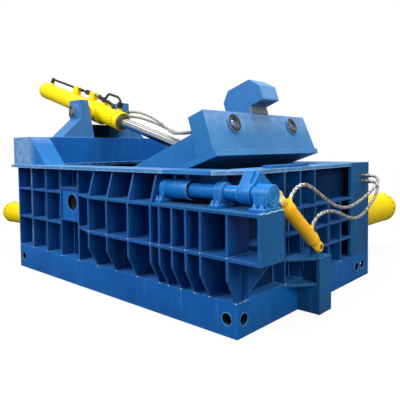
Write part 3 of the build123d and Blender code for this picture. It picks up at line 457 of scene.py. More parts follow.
@dataclass(frozen=True)
class Braid:
    """Stainless wire braid over rubber: crossing bands of bright wire with dark gaps between them."""

    name: str = "stainless_wire_braid"
    wire: str = "#DADAD6"
    gap: str = "#24272A"
    # A real band is about 5 mm wide; it is drawn four times coarser so that it shows
    pitch_mm: float = 44.0
    bands: float = 3.0
    band_depth_mm: float = 2.0
    # Rubbed and greasy lengths follow each other along the hose
    mottle_mm: float = 38.0

    def material(self) -> bpy.types.Material:
        """Builds the braid's nodes from the tube's own lay attribute."""
        material, tree, shader = start_material(self.name)
        lay = add_node(tree, "ShaderNodeAttribute", {"attribute_name": "lay"})
        parts = add_node(tree, "ShaderNodeSeparateXYZ", inputs={0: lay.outputs["Vector"]})
        around = calc(tree, "ARCTAN2", parts.outputs[1], parts.outputs[0])
        turned = calc(tree, "MULTIPLY", around, self.bands)
        along = calc(tree, "MULTIPLY", parts.outputs[2], 2 * math.pi / (self.pitch_mm * MM))
        waves = [calc(tree, "SINE", calc(tree, sense, along, turned)) for sense in ("ADD", "SUBTRACT")]
        band = ramp(tree, calc(tree, "MAXIMUM", *waves), -0.35, 0.55)
        grease = add_node(tree, "ShaderNodeTexNoise", {"noise_dimensions": "1D"}, {
            "W": parts.outputs[2], "Scale": 1 / (self.mottle_mm * MM), "Detail": 2.0})
        clean = ramp(tree, grease.outputs[0], 0.36, 0.58, 0.3, 1.0)
        colour = mixed(tree, calc(tree, "MULTIPLY", band, clean), self.gap, self.wire)
        tree.links.new(colour, shader.inputs["Base Color"])
        shader.inputs["Metallic"].default_value = 0.4
        shader.inputs["Roughness"].default_value = 0.4
        bumped(tree, shader, band, self.band_depth_mm, 0.5)
        return material


class Paints:
    """Every finish of the press, made once."""

    def __init__(self) -> None:
        """Makes the materials."""
        self.frame_blues()
        self.moving_blues()
        self.cylinder_enamels()
        self.metals()

    def frame_blues(self) -> None:
        """Makes the blue coats of the fixed plates."""
        self.blue = Enamel("blue_alkyd_enamel", "#0A61B4", "#0854A0", "#4A94D6").material()
        # Cheeks: a pale patch where hooks and gloves wear the paint
        self.cheek_blue = Enamel(
            "blue_alkyd_enamel_rubbed", "#166EB4", "#1264A8", "#62A2DF",
            wear_and_painted_light_box=((-2.10, -5.0, 1.20), (-1.40, 5.0, 2.14)), wear_and_painted_light="#7C9AC4").material()
        # Rim: pale edges, partly polished by gloves and partly a painted highlight; the near-black patch on
        # the plate under the headstock is painted shade
        self.rim_blue = Enamel(
            "blue_alkyd_enamel_rim", "#3A76B0", "#4E86BE", "#CFE4F6", edge_mm=12.0, edge_share=0.9,
            roughness=0.5, specular=0.15, wear_and_painted_light_box=((-2.6, -1.16, 0.9), (1.4, 1.06, 2.0)),
            wear_and_painted_light="#0A1526").material()
        # Ribs: bright edges over darker flanks; the bright edges are partly worn paint and partly a painted
        # highlight
        self.rib_blue = Enamel(
            "blue_alkyd_enamel_ribs", "#0D4F9A", "#0A4384", "#5B93CE", edge_mm=11.0,
            edge_share=0.75).material()
        # Bay walls are painted nearly black: painted shade deep in the bays
        self.bay_painted_shade_blue = Enamel(
            "blue_enamel_in_bays", "#072E5C", "#052246", "#1E5A9E", roughness=0.6, specular=0.08,
            edge_share=0.2).material()
        # Towers: sun-chalked outside; the dark patch between them under the cylinder is painted shade
        self.tower_blue = Enamel(
            "blue_alkyd_enamel_towers", "#3F76B0", "#356AA2", "#7FB0E0",
            wear_and_painted_light_box=((-2.4, -0.30, 1.60), (-1.0, 0.20, 2.42)), wear_and_painted_light="#0A1424").material()
        # The right end's coat is painted a duller, greener blue: painted shade for the yard's shade that it
        # stands in
        self.end_blue = Enamel("blue_alkyd_enamel_shaded_end", "#125A98", "#0E5088", "#5A92C8").material()
        # Weld beads, bolt heads and hole rims get a paler coat, a painted highlight for the light they catch;
        # the nearly white weld ends are partly chalked weld and partly a painted highlight of lit deck edges
        self.weld_blue = Enamel(
            "blue_enamel_over_weld", "#3A84CB", "#2A72BC", "#9CC5EA", peel_mm=7.0, roughness=0.4).material()
        self.weld_pale_highlight = Enamel(
            "chalked_and_highlit_enamel_over_weld", "#A9CBEC", "#7FAEDF", "#E0EDF9", peel_mm=7.0,
            roughness=0.5).material()
        # Chamber plates are scraped by scrap to dull steel, and their near-black tone is painted shade under
        # the lid
        self.chamber = Enamel(
            "scuffed_and_shaded_chamber_plate", "#0B1B30", "#0A0E15", "#2A3542", roughness=0.7, specular=0.05,
            chip_share=1.0).material()

    def moving_blues(self) -> None:
        """Makes the blue coats of the lid and the tipper."""
        # Fresher, lighter coat on the lid, with dark chips from scrap that struck it
        self.lid_blue = Enamel(
            "blue_alkyd_enamel_lid", "#246CA8", "#1C609C", "#6AA6DE", roughness=0.38, chip_mm=75.0,
            chip_share=1.0).material()
        # The lid's front is painted paler than the lid, and paler still toward its top edge: a painted
        # reflection of the sky on its upturned face; its flanks keep the plain coat
        self.lid_front_blue = Enamel(
            "blue_alkyd_enamel_lid_front_painted_sky", "#4080BA", "#3674AC", "#8ABCEC", roughness=0.36, specular=0.3,
            chip_mm=75.0, chip_share=0.8, wear_and_painted_light_box=((0.0, -5.0, 1.84), (2.8, 5.0, 2.40)), wear_and_painted_light="#7098CC",
            flank="#216AA6").material()
        # The hook's nose strikes the frame's pins; its pale front is a painted highlight, and the dark patch
        # in its throat is painted shade
        self.hook_blue = Enamel(
            "blue_alkyd_enamel_hook", "#5B90C8", "#5085BE", "#A8CEF4", roughness=0.36, specular=0.3,
            wear_and_painted_light_box=((1.24, -5.0, 2.03), (1.60, 5.0, 2.25)), wear_and_painted_light="#0A1830", flank="#276AA8").material()
        # Machined and repainted parts of the tipper keep a glossier, brighter coat; the paler band near the
        # flap's top edge is a painted highlight
        self.tipper_blue = Enamel(
            "blue_alkyd_enamel_gloss", "#0A70BE", "#0864AE", "#6FB2EC", roughness=0.34, specular=0.22,
            edge_mm=9.0, edge_share=0.8, wear_and_painted_light_box=((0.2, -5.0, 1.40), (1.96, 5.0, 1.60)),
            wear_and_painted_light="#3C78B8").material()

    def cylinder_enamels(self) -> None:
        """Makes the warm coats of the cylinders, which stand out from the blue."""
        warm = {"dust": "#EADF9A", "roughness": 0.34, "specular": 0.3, "dirt": "#5E4A1C"}
        self.yellow = Enamel(
            "yellow_alkyd_enamel", "#F5DA00", "#EFC900", "#FBEE5A", dirt="#7A6B2A", dust="#EADF9A",
            roughness=0.36, specular=0.14, chip_share=0.25).material()
        self.amber = Enamel(
            "amber_alkyd_enamel", "#FAC81A", "#F2B410", "#FCDC5A", chip_share=0.4, **warm).material()
        self.cream = Enamel(
            "cream_alkyd_enamel", "#F0E3A0", "#E6D278", "#FBF4CC", chip_share=0.2, **warm).material()

    def metals(self) -> None:
        """Makes the bare and plated metals, and the braid."""
        # Cast gland and socket rings: dull and brown with oil
        self.olive = Metal("oiled_cast_steel", "#7C7648", "#565234", 0.42, 0.2, mark_mm=6.0).material()
        self.socket = Metal("oiled_socket_steel", "#45433A", "#31302B", 0.42, 0.3, mark_mm=5.0).material()
        # Rods: a mirror with bright bands and fine dark lines
        self.chrome = Metal(
            "hard_chrome", "#E6E7E7", "#D8DADB", 0.03, mark_mm=1.5, mark_share=0.004).material()
        # Bolt heads and ferrules: bright, with a soft grain
        self.steel = Metal("machined_steel", "#A7ABAE", "#84898D", 0.32, mark_mm=2.0).material()
        # Keeper plates: dull grey on the towers
        self.keeper = Metal("phosphated_keeper_steel", "#6A707A", "#535963", 0.5, 0.2, mark_mm=4.0).material()
        # Wear pad in the hook's throat: beaten and blotched
        self.pad = Metal(
            "hammered_wear_plate", "#7A8696", "#4A5668", 0.6, 0.15, mark_mm=9.0, mark_share=0.4,
            smudge_mm=22.0).material()
        # Bore liners: a duller ring inside the sockets
        self.liner = Metal(
            "bronzed_bore_liner", "#8C8B86", "#5E5C56", 0.38, mark_mm=4.0, mark_share=0.2).material()
        # Polished plug in the lock sockets, which mirrors the sky; its pale blue tint is a painted reflection
        # of the sky
        self.plug = Metal("polished_steel_sky_tinted", "#9DBBE8", "#7FA3D6", 0.2, mark_mm=2.0).material()
        # Hose unions: yellowed plating
        self.zinc = Metal("zinc_plated_steel", "#C2B88A", "#9A946F", 0.3, mark_mm=2.0).material()
        # Pipes, screws and pins: near black, with a dull sheen
        self.black = Metal("black_phosphated_pipe", "#151618", "#232220", 0.45, 0.2, mark_mm=5.0).material()
        self.braid = Braid().material()


def linked(name: str, bm: bmesh.types.BMesh, material: bpy.types.Material) -> bpy.types.Object:
    """Turns a finished mesh into an object of the scene.

    Args:
        name: Name of the object and its mesh.
        bm: Mesh to take over; it is freed.
        material: Finish of the object.

    Returns:
        The new object.
    """
    mesh = bpy.data.meshes.new(name)
    bm.to_mesh(mesh)
    bm.free()
    mesh.materials.append(material)
    obj = bpy.data.objects.new(name, mesh)
    bpy.context.scene.collection.objects.link(obj)
    return obj


class Metalwork:
    """A mesh under construction, grown from operator-made shapes."""

    def __init__(self) -> None:
        """Starts an empty mesh."""
        self.bm = bmesh.new()

    def add(self, part: bmesh.types.BMesh, place: Matrix) -> None:
        """Adds a finished shape at its place.

        Args:
            part: Shape to take over; it is freed.
            place: Where the shape goes.
        """
        bmesh.ops.remove_doubles(part, verts=part.verts, dist=1e-6)
        bmesh.ops.transform(part, matrix=place, verts=part.verts)
        bmesh.ops.recalc_face_normals(part, faces=part.faces)
        mesh = bpy.data.meshes.new("shape")
        part.to_mesh(mesh)
        part.free()
        self.bm.from_mesh(mesh)
        bpy.data.meshes.remove(mesh)

    def lathe(self, profile: Sequence[tuple[float, float]], place: Matrix, steps: int = 48) -> None:
        """Turns a profile of radius and height about the local Z axis.

        Args:
            profile: Radius and height of each corner.
            place: Where the turned shape goes.
            steps: Facets round the axis.
        """
        part = bmesh.new()
        corners = [part.verts.new((radius, 0, height)) for radius, height in profile]
        edges = [part.edges.new(pair) for pair in zip(corners, corners[1:])]
        bmesh.ops.spin(part, geom=corners + edges, cent=(0, 0, 0), axis=(0, 0, 1), dvec=(0, 0, 0),
                       angle=2 * math.pi, steps=steps, use_merge=True)
        self.add(part, place)

    def disc(self, radius: float, low: float, high: float, place: Matrix, steps: int) -> None:
        """Adds a plain disc about the local Z axis.

        Args:
            radius: Radius of the disc.
            low: Height of its lower face.
            high: Height of its upper face.
            place: Where the disc goes.
            steps: Facets round the axis.
        """
        self.lathe([(0, low), (radius, low), (radius, high), (0, high)], place, steps)

    def band(self, inner: float, outer: float, low: float, high: float, place: Matrix, steps: int) -> None:
        """Adds a plain ring about the local Z axis.

        Args:
            inner: Inner radius.
            outer: Outer radius.
            low: Height of its lower face.
            high: Height of its upper face.
            place: Where the ring goes.
            steps: Facets round the axis.
        """
        self.lathe([(inner, low), (inner, high), (outer, high), (outer, low), (inner, low)], place, steps)

    def block(self, low: Point, high: Point, bevel: float, place: Matrix = Matrix()) -> None:
        """Adds a box with eased edges.

        Args:
            low: Lowest corner.
            high: Highest corner.
            bevel: Width of the eased edge.
            place: Where the box goes.
        """
        part = bmesh.new()
        bmesh.ops.create_cube(part, size=1.0)
        size = Vector(high) - Vector(low)
        bmesh.ops.scale(part, vec=size, verts=part.verts)
        bmesh.ops.translate(part, vec=(Vector(high) + Vector(low)) / 2, verts=part.verts)
        if bevel > 0:
            bmesh.ops.bevel(part, geom=part.edges[:], offset=bevel, segments=2, profile=0.5, affect="EDGES",
                            material=-1)
        self.add(part, place)

    def hex_bolt(self, bolt: Bolt, place: Matrix) -> None:
        """Adds a hexagon head on a washer, standing on the local XY plane.

        Args:
            bolt: Size of the bolt.
            place: Where the bolt goes.
        """
        radius, height, washer = bolt.value
        thick = height * 0.25
        self.disc(radius * washer, 0, thick, place, 20)
        part = bmesh.new()
        bmesh.ops.create_cone(part, cap_ends=True, segments=6, radius1=radius, radius2=radius, depth=height)
        top = [e for e in part.edges if all(v.co.z > 0 for v in e.verts)]
        bmesh.ops.bevel(part, geom=top, offset=radius * 0.16, segments=1, profile=0.5, affect="EDGES",
                        material=-1)
        self.add(part, place @ Matrix.Translation((0, 0, thick + height / 2)))

    def weld(self, start: Point | Vector, end: Point | Vector, bead: Bead) -> None:
        """Adds a weld bead between two points, as a row of overlapping ripples.

        Args:
            start: First end of the bead.
            end: Other end of the bead.
            bead: Size of the bead.
        """
        size = bead.value
        first, last = Vector(start), Vector(end)
        length = (last - first).length
        turn = (last - first).to_track_quat("Z", "Y").to_matrix().to_4x4()
        count = max(2, int(length / (size * 2.2)))
        step = length / count
        profile = [(size * 0.35, 0.0)]
        for i in range(count):
            profile += [(size, (i + 0.35) * step), (size * 0.82, (i + 1) * step)]
        profile[-1] = (size * 0.35, length)
        self.lathe([(0, 0)] + profile + [(0, length)], Matrix.Translation(first) @ turn, 6)

    def piece(self, name: str, material: bpy.types.Material, body: Body, slot: Slot,
              nodes: Iterable[str] = (), sharp: float = 38.0) -> bpy.types.Object:
        """Finishes the mesh as a piece of the object.

        Args:
            name: Name of the piece.
            material: Finish of the piece.
            body: Body that carries it.
            slot: Record slot of its finish; not used.
            nodes: CAD nodes that it stands for.
            sharp: Angle in degrees past which an edge stays sharp.

        Returns:
            The new object.
        """
        limit = math.radians(sharp)
        for edge in self.bm.edges:
            edge.smooth = len(edge.link_faces) == 2 and edge.calc_face_angle(0) < limit
        for face in self.bm.faces:
            face.smooth = True
        obj = linked(name, self.bm, material)
        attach(obj, body.value)
        names = list(nodes)
        if names:
            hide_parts(*names)
        LOG.info("%s: %d faces", name, len(obj.data.polygons))
        return obj


def along_x(place: Matrix = Matrix()) -> Matrix:
    """Turns a lathe's axis to the X axis of a place."""
    return place @ Matrix.Rotation(math.pi / 2, 4, "Y")


def along_y(place: Matrix = Matrix()) -> Matrix:
    """Turns a lathe's axis to the Y axis of a place."""
    return place @ Matrix.Rotation(-math.pi / 2, 4, "X")


def at(x: float, y: float, z: float) -> Matrix:
    """A place with no turn."""
    return Matrix.Translation((x, y, z))


@dataclass
class PlateWork:
    """The welded plates that come from the CAD solids, with paint and eased edges."""

    paints: Paints
    ease: float = 0.004
    join: float = 0.00005
    chamber_nodes: tuple[str, ...] = (
        "chamber_floor", "main_ram_head", "side_ram_head", "housing_cover", "back_wall")
    lid_nodes: tuple[str, ...] = ("lid_side_plates", "lid_ribs", "lid_lugs")
    lid_front_nodes: tuple[str, ...] = ("lid_front_beam", "lid_press_plate")
    end_nodes: tuple[str, ...] = ("shelf_end_plate", "corner_plate", "foot_bracket", "bearing_shelf")
    tipper_nodes: tuple[str, ...] = ("tipper_flap", "tipper_shaft", "tipper_crank", "shaft_bearings")
    rib_nodes: tuple[str, ...] = (
        "front_grid", "shelf_ribs", "right_grid", "back_grid", "left_ribs", "middle_shelf")
    bay_nodes: tuple[str, ...] = ("front_wall", "right_wall", "left_wall", "back_outer_wall")

    def special(self) -> dict[str, bpy.types.Material]:
        """Finishes of nodes that differ from their slot's usual one.

        Returns:
            A finish for each such node.
        """
        paints = self.paints
        groups = ((self.chamber_nodes, paints.chamber), (self.lid_nodes, paints.lid_blue),
                  (self.lid_front_nodes, paints.lid_front_blue), (self.tipper_nodes, paints.tipper_blue),
                  (self.end_nodes, paints.end_blue), (self.rib_nodes, paints.rib_blue),
                  (self.bay_nodes, paints.bay_painted_shade_blue))
        single = {"trunnion_towers": paints.tower_blue, "rim_plate": paints.rim_blue,
                  "head_cheeks": paints.cheek_blue, "hook_pad": paints.pad, "lock_hook": paints.hook_blue,
                  "hinge_pins": paints.black}
        return single | {node: finish for nodes, finish in groups for node in nodes}

    def dress(self) -> None:
        """Gives every CAD node its finish, and eases the edges of plates."""
        by_slot = {
            Slot.BLUE.value: self.paints.blue, Slot.STEEL.value: self.paints.steel,
            Slot.CHROME.value: self.paints.chrome, Slot.YELLOW.value: self.paints.yellow,
            Slot.AMBER.value: self.paints.amber, Slot.OLIVE.value: self.paints.olive,
            Slot.BLACK.value: self.paints.black, Slot.FITTING.value: self.paints.zinc,
            Slot.BRAID.value: self.paints.braid,
        }
        special = self.special()
        for entry in frame["record"]["subparts"]:
            node, slot = entry["node"], entry["material_slot"]
            obj = frame["nodes"][node]
            for holder in obj.material_slots:
                holder.material = special.get(node, by_slot[slot])
            if slot == Slot.BLUE.value:
                self.soften(obj)

    def soften(self, obj: bpy.types.Object) -> None:
        """Eases the edges of a plate.

        Args:
            obj: CAD node's object.
        """
        weld = obj.modifiers.new("join", "WELD")
        weld.merge_threshold = self.join
        bevel = obj.modifiers.new("ease", "BEVEL")
        bevel.width = self.ease
        bevel.segments = 2
        bevel.limit_method = "ANGLE"
        bevel.angle_limit = math.radians(40)
        bevel.use_clamp_overlap = True


@dataclass
class LidCylinder:
    """Barrel on trunnions, its gland, and the pipework clamped along its top."""

    paints: Paints
    trunnion: Point = (-1.720, -0.158, 2.272)
    slope: float = 17.08857
    radius: float = 0.140
    bore: float = 0.1015
    back: float = -1.760
    front: float = 0.540
    cap_wall: float = 0.080
    gland_end: float = 0.600
    gland_radius: float = 0.132
    gland_reach: float = 0.050
    gland_gap: float = 0.001
    gland_bolt_ring: float = 0.116
    gland_bolts: int = 10
    lock_screws: int = 20
    lock_screw: float = 0.011
    lock_screws_back: float = 0.105
    rod: float = 0.0705
    yoke: float = 0.172
    yoke_half: float = 0.110
    yoke_ease: float = 0.012
    trunnion_radius: float = 0.065
    trunnion_half: float = 0.462
    port: float = 0.470
    pipe: float = 0.019
    pipe_height: float = 0.238
    pipe_crest: float = 0.335
    pipe_bend: float = 0.055
    pipe_start: float = -1.560
    pipe_nuts: tuple[Point, ...] = ((-1.560, -1.510, 0.030), (-0.455, -0.325, 0.042), (-0.615, -0.575, 0.028))
    jumper: float = 0.026
    jumper_bend: float = 0.090
    jumper_bands: tuple[float, ...] = (0.02, 0.09, 0.16)
    clamps: tuple[float, ...] = (-0.740, -0.250)
    clamp_half: float = 0.045

    def place(self) -> Matrix:
        """Place of the trunnion, turned down the cylinder's line."""
        return at(*self.trunnion) @ Matrix.Rotation(math.radians(self.slope), 4, "Y")

    def bosses(self) -> tuple[Point, Point]:
        """Place along the barrel, radius and rise of the two port bosses."""
        return (self.port, 0.034, 0.036), (self.pipe_start, 0.036, 0.034)

    def build(self) -> None:
        """Builds barrel, gland, pipe and clamps."""
        self.build_barrel()
        self.build_screws()
        self.build_gland()
        self.build_pipe()
        self.build_clamps()

    def build_barrel(self) -> None:
        """Turned barrel with end cap, weld ring, yoke, trunnion pins and port bosses."""
        work = Metalwork()
        r, y, half, ease = self.radius, self.yoke, self.yoke_half, self.yoke_ease
        back, front, end = self.back, self.front, self.gland_end
        seat = self.gland_radius + self.gland_gap
        cap = [(0, back + 0.010), (r * 0.55, back + 0.010), (r * 0.58, back), (r - 0.03, back),
               (r - 0.008, back + 0.012), (r, back + 0.030)]
        weld_ring = [(r, back + 0.118), (r + 0.006, back + 0.122), (r + 0.006, back + 0.132),
                     (r, back + 0.138)]
        collar = [(r, -half - 0.03), (r + 0.01, -half - 0.008), (y - ease, -half), (y, -half + ease),
                  (y, half - ease), (y - ease, half), (r + 0.01, half + 0.008), (r, half + 0.03)]
        mouth = [(r, front - 0.13), (r + 0.004, front - 0.122), (r + 0.004, end - 0.012),
                 (r - 0.003, end - 0.003), (seat, end - 0.003), (seat, front)]
        inside = [(self.bore, front), (self.bore, back + self.cap_wall), (0, back + self.cap_wall)]
        work.lathe(cap + weld_ring + collar + mouth + inside, along_x(self.place()), 64)
        t, tip = self.trunnion_radius, self.trunnion_half
        for side in (-1, 1):
            turn = self.place() @ Matrix.Rotation(-side * math.pi / 2, 4, "X")
            work.lathe([(t + 0.03, y - 0.035), (t + 0.03, y + 0.05), (t + 0.02, y + 0.06), (t, y + 0.06),
                        (t, tip - 0.005), (t - 0.005, tip), (0, tip)], turn, 40)
        for s, boss, rise in self.bosses():
            work.lathe([(0, r - 0.01), (boss, r - 0.01), (boss, r + rise - 0.006), (boss - 0.008, r + rise),
                        (0, r + rise)], self.place() @ at(s, 0, 0), 24)
        work.piece("lid_cylinder_barrel", self.paints.yellow, Body.LID_CYLINDER, Slot.YELLOW, ["lid_barrel"])

    def build_screws(self) -> None:
        """Sunk screws round the barrel that lock its gland."""
        work = Metalwork()
        ring = self.place() @ at(self.gland_end - self.lock_screws_back, 0, 0)
        for i in range(self.lock_screws):
            spot = ring @ Matrix.Rotation(2 * math.pi * i / self.lock_screws, 4, "X")
            work.disc(self.lock_screw, 0, 0.004, spot @ at(0, 0, self.radius + 0.003), 10)
        work.piece("gland_lock_screws", self.paints.black, Body.LID_CYLINDER, Slot.BLACK)

    def build_gland(self) -> None:
        """Bolted gland round the rod."""
        work = Metalwork()
        g, rod, front, end = self.gland_radius, self.rod, self.front, self.gland_end
        spigot, nose = self.bore - self.gland_gap, front - self.gland_reach
        profile = [(rod, nose), (spigot, nose), (spigot, front), (g, front), (g, end - 0.008),
                   (g - 0.006, end), (rod + 0.03, end), (rod + 0.022, end - 0.008), (rod, end - 0.012)]
        work.lathe(profile + [profile[0]], along_x(self.place()), 56)
        face = self.place() @ at(end, 0, 0)
        for i in range(self.gland_bolts):
            turn = Matrix.Rotation(2 * math.pi * i / self.gland_bolts, 4, "X")
            work.hex_bolt(Bolt.GLAND, along_x(face @ turn @ at(0, 0, self.gland_bolt_ring)))
        work.piece("lid_cylinder_gland", self.paints.olive, Body.LID_CYLINDER, Slot.OLIVE, ["lid_gland"])

    def build_pipe(self) -> None:
        """Steel pipe from the cap end to the gland end, with its unions and a short jumper hose."""
        work, tail = Metalwork(), Metalwork()
        r, h, start, port, crest = self.radius, self.pipe_height, self.pipe_start, self.port, self.pipe_crest
        runs = [(start, 0, r + 0.03), (start, 0, h), (0.085, 0, h), (0.140, 0, crest), (0.400, 0, crest),
                (port, 0, crest - 0.05), (port, 0, r + 0.03)]
        self.bent_pipe(work, runs, self.pipe_bend, self.pipe)
        line = along_x(self.place() @ at(0, 0, h))
        for low, high, nut in self.pipe_nuts:
            flat = nut * 0.8
            work.lathe([(0, low), (flat, low), (nut, low + 0.008), (nut, high - 0.008), (flat, high),
                        (0, high)], line, 8)
        for s, _, rise in self.bosses():
            z = r + rise
            work.lathe([(0, z), (0.032, z), (0.032, z + 0.03), (0.022, z + 0.036), (0, z + 0.036)],
                       self.place() @ at(s, 0, 0), 6)
        work.block((port - 0.032, -0.036, r + 0.06), (port + 0.032, 0.036, r + 0.13), 0.008, self.place())
        jumper = [(-0.10, 0, h - 0.012), (0.10, 0, h - 0.03), (0.22, 0, h - 0.04), (0.300, 0, r + 0.05),
                  (0.330, 0, r - 0.01)]
        self.bent_pipe(work, jumper, self.jumper_bend, self.jumper)
        for low in self.jumper_bands:
            work.lathe([(0.024, low), (0.030, low + 0.004), (0.030, low + 0.016), (0.024, low + 0.02)],
                       along_x(self.place() @ at(0, 0, h - 0.03)), 20)
        tail.lathe([(0, -0.19), (0.022, -0.19), (0.030, -0.182), (0.030, -0.12), (0.026, -0.112),
                    (0.026, -0.06), (0, -0.06)], along_x(self.place() @ at(0, 0, h + 0.012)), 12)
        tail.piece("pipe_end_union", self.paints.zinc, Body.LID_CYLINDER, Slot.FITTING)
        work.piece("lid_cylinder_pipe", self.paints.black, Body.LID_CYLINDER, Slot.BLACK, ["lid_pipe"])

    def bent_pipe(self, work: Metalwork, runs: Sequence[Point], bend: float, radius: float) -> None:
        """Adds a bent steel pipe.

        Args:
            work: Mesh that takes the pipe.
            runs: Corners of the pipe's line.
            bend: Radius of its bends.
            radius: Radius of the pipe.
        """
        curve = bpy.data.curves.new("pipe_line", "CURVE")
        curve.dimensions = "3D"
        curve.bevel_depth = radius
        curve.bevel_resolution = 4
        curve.use_fill_caps = True
        points: list[Vector] = [Vector(runs[0])]
        for before, here, after in zip(runs, runs[1:], runs[2:]):
            corner = Vector(here)
            back, ahead = Vector(before) - corner, Vector(after) - corner
            reach = min(bend, back.length * 0.45, ahead.length * 0.45)
            start, end = corner + back.normalized() * reach, corner + ahead.normalized() * reach
            for i in range(7):
                t = i / 6
                points.append(start.lerp(corner, t).lerp(corner.lerp(end, t), t))
        points.append(Vector(runs[-1]))
        spline = curve.splines.new("POLY")
        spline.points.add(len(points) - 1)
        for target, point in zip(spline.points, points):
            target.co = (*point, 1)
        holder = bpy.data.objects.new("pipe_line", curve)
        bpy.context.scene.collection.objects.link(holder)
        depsgraph = bpy.context.evaluated_depsgraph_get()
        mesh = bpy.data.meshes.new_from_object(holder.evaluated_get(depsgraph))
        part = bmesh.new()
        part.from_mesh(mesh)
        bpy.data.meshes.remove(mesh)
        bpy.data.objects.remove(holder)
        bpy.data.curves.remove(curve)
        work.add(part, self.place())

    def build_clamps(self) -> None:
        """Saddle clamps that hold the pipe off the barrel."""
        work = Metalwork()
        h, y = self.pipe_height, self.clamp_half
        for s in self.clamps:
            place = self.place() @ at(s, 0, 0)
            work.block((-0.065, -y, self.radius - 0.012), (0.065, y, h - 0.004), 0.006, place)
            work.block((-0.055, -y, h - 0.002), (0.055, y, h + 0.030), 0.007, place)
            for bolt_x in (-0.035, 0.035):
                for bolt_y in (-0.032, 0.032):
                    work.hex_bolt(Bolt.CLAMP, place @ at(bolt_x, bolt_y, h + 0.030))
        work.piece("lid_pipe_clamps", self.paints.yellow, Body.LID_CYLINDER, Slot.YELLOW, ["pipe_clamps"])


@dataclass(frozen=True)
class RamBarrel:
    """Sizes of one fixed barrel, its bolt circle and its ring of sunk screws."""

    radius: float
    bore: float
    flange: float
    reach: float
    bolt_ring: float
    bolts: int
    screws_at: float
    facets: int


@dataclass
class FixedRamCylinders:
    """Main and side cylinders with domed ends, flanges and lock screws."""

    paints: Paints
    main: RamBarrel = RamBarrel(0.170, 0.125, 0.230, 1.560, 0.202, 12, 1.37, 64)
    main_places: tuple[Point, ...] = ((-1.880, -0.888, 0.625), (-1.880, 0.572, 0.625))
    side: RamBarrel = RamBarrel(0.225, 0.170, 0.290, 1.912, 0.258, 16, 1.66, 72)
    side_place: Point = (1.575, 1.228, 0.700)
    flange_thick: float = 0.060
    inner: float = 0.050
    end_wall: float = 0.150
    dome_share: float = 0.8
    screws: int = 16
    screw: float = 0.013

    def profile(self, barrel: RamBarrel) -> list[tuple[float, float]]:
        """Profile of a fixed barrel, from its mouth to its domed end.

        Args:
            barrel: The barrel's sizes.

        Returns:
            Radius and height of each corner.
        """
        r, flange, thick = barrel.radius, barrel.flange, self.flange_thick
        dome = r * self.dome_share
        start, floor = barrel.reach - dome, barrel.reach - self.end_wall
        points = [(barrel.bore, -self.inner), (r, -self.inner), (r, 0), (flange, 0), (flange, thick - 0.008),
                  (flange - 0.008, thick), (r + 0.02, thick), (r + 0.004, thick + 0.018), (r, thick + 0.03),
                  (r, start - 0.03), (r + 0.007, start - 0.02), (r + 0.007, start - 0.006), (r, start)]
        for i in range(1, 13):
            angle = math.pi / 2 * i / 12
            points.append((r - dome + dome * math.cos(angle), start + dome * math.sin(angle)))
        return points + [(0, barrel.reach), (0, floor), (barrel.bore, floor), (barrel.bore, -self.inner)]

    def barrel(self, sizes: RamBarrel, place: Matrix, shell: Metalwork, bolts: Metalwork,
               dots: Metalwork) -> None:
        """Adds one barrel with its flange bolts and sunk screws.

        Args:
            sizes: The barrel's sizes.
            place: Place of the flange, with Z outward.
            shell: Mesh of the barrel.
            bolts: Mesh of the bolts.
            dots: Mesh of the screws.
        """
        shell.lathe(self.profile(sizes), place, sizes.facets)
        for i in range(sizes.bolts):
            turn = Matrix.Rotation(2 * math.pi * (i + 0.5) / sizes.bolts, 4, "Z")
            bolts.hex_bolt(Bolt.FLANGE, place @ turn @ at(sizes.bolt_ring, 0, self.flange_thick))
        ring = place @ at(0, 0, sizes.screws_at)
        for i in range(self.screws):
            spot = ring @ Matrix.Rotation(2 * math.pi * i / self.screws, 4, "Z") @ along_x()
            dots.disc(self.screw, sizes.radius - 0.003, sizes.radius + 0.003, spot, 10)

    def build(self) -> None:
        """Builds the barrels, their bolts and their screws."""
        mains, side, bolts, dots = Metalwork(), Metalwork(), Metalwork(), Metalwork()
        for centre in self.main_places:
            self.barrel(self.main, at(*centre) @ Matrix.Rotation(-math.pi / 2, 4, "Y"), mains, bolts, dots)
        self.barrel(self.side, along_y(at(*self.side_place)), side, bolts, dots)
        mains.piece("main_cylinder_barrels", self.paints.yellow, Body.FRAME, Slot.YELLOW, ["main_barrels"])
        side.piece("side_cylinder_barrel", self.paints.yellow, Body.FRAME, Slot.YELLOW, ["side_barrel"])
        bolts.piece("ram_flange_bolts", self.paints.steel, Body.FRAME, Slot.STEEL)
        dots.piece("barrel_lock_screws", self.paints.black, Body.FRAME, Slot.BLACK)


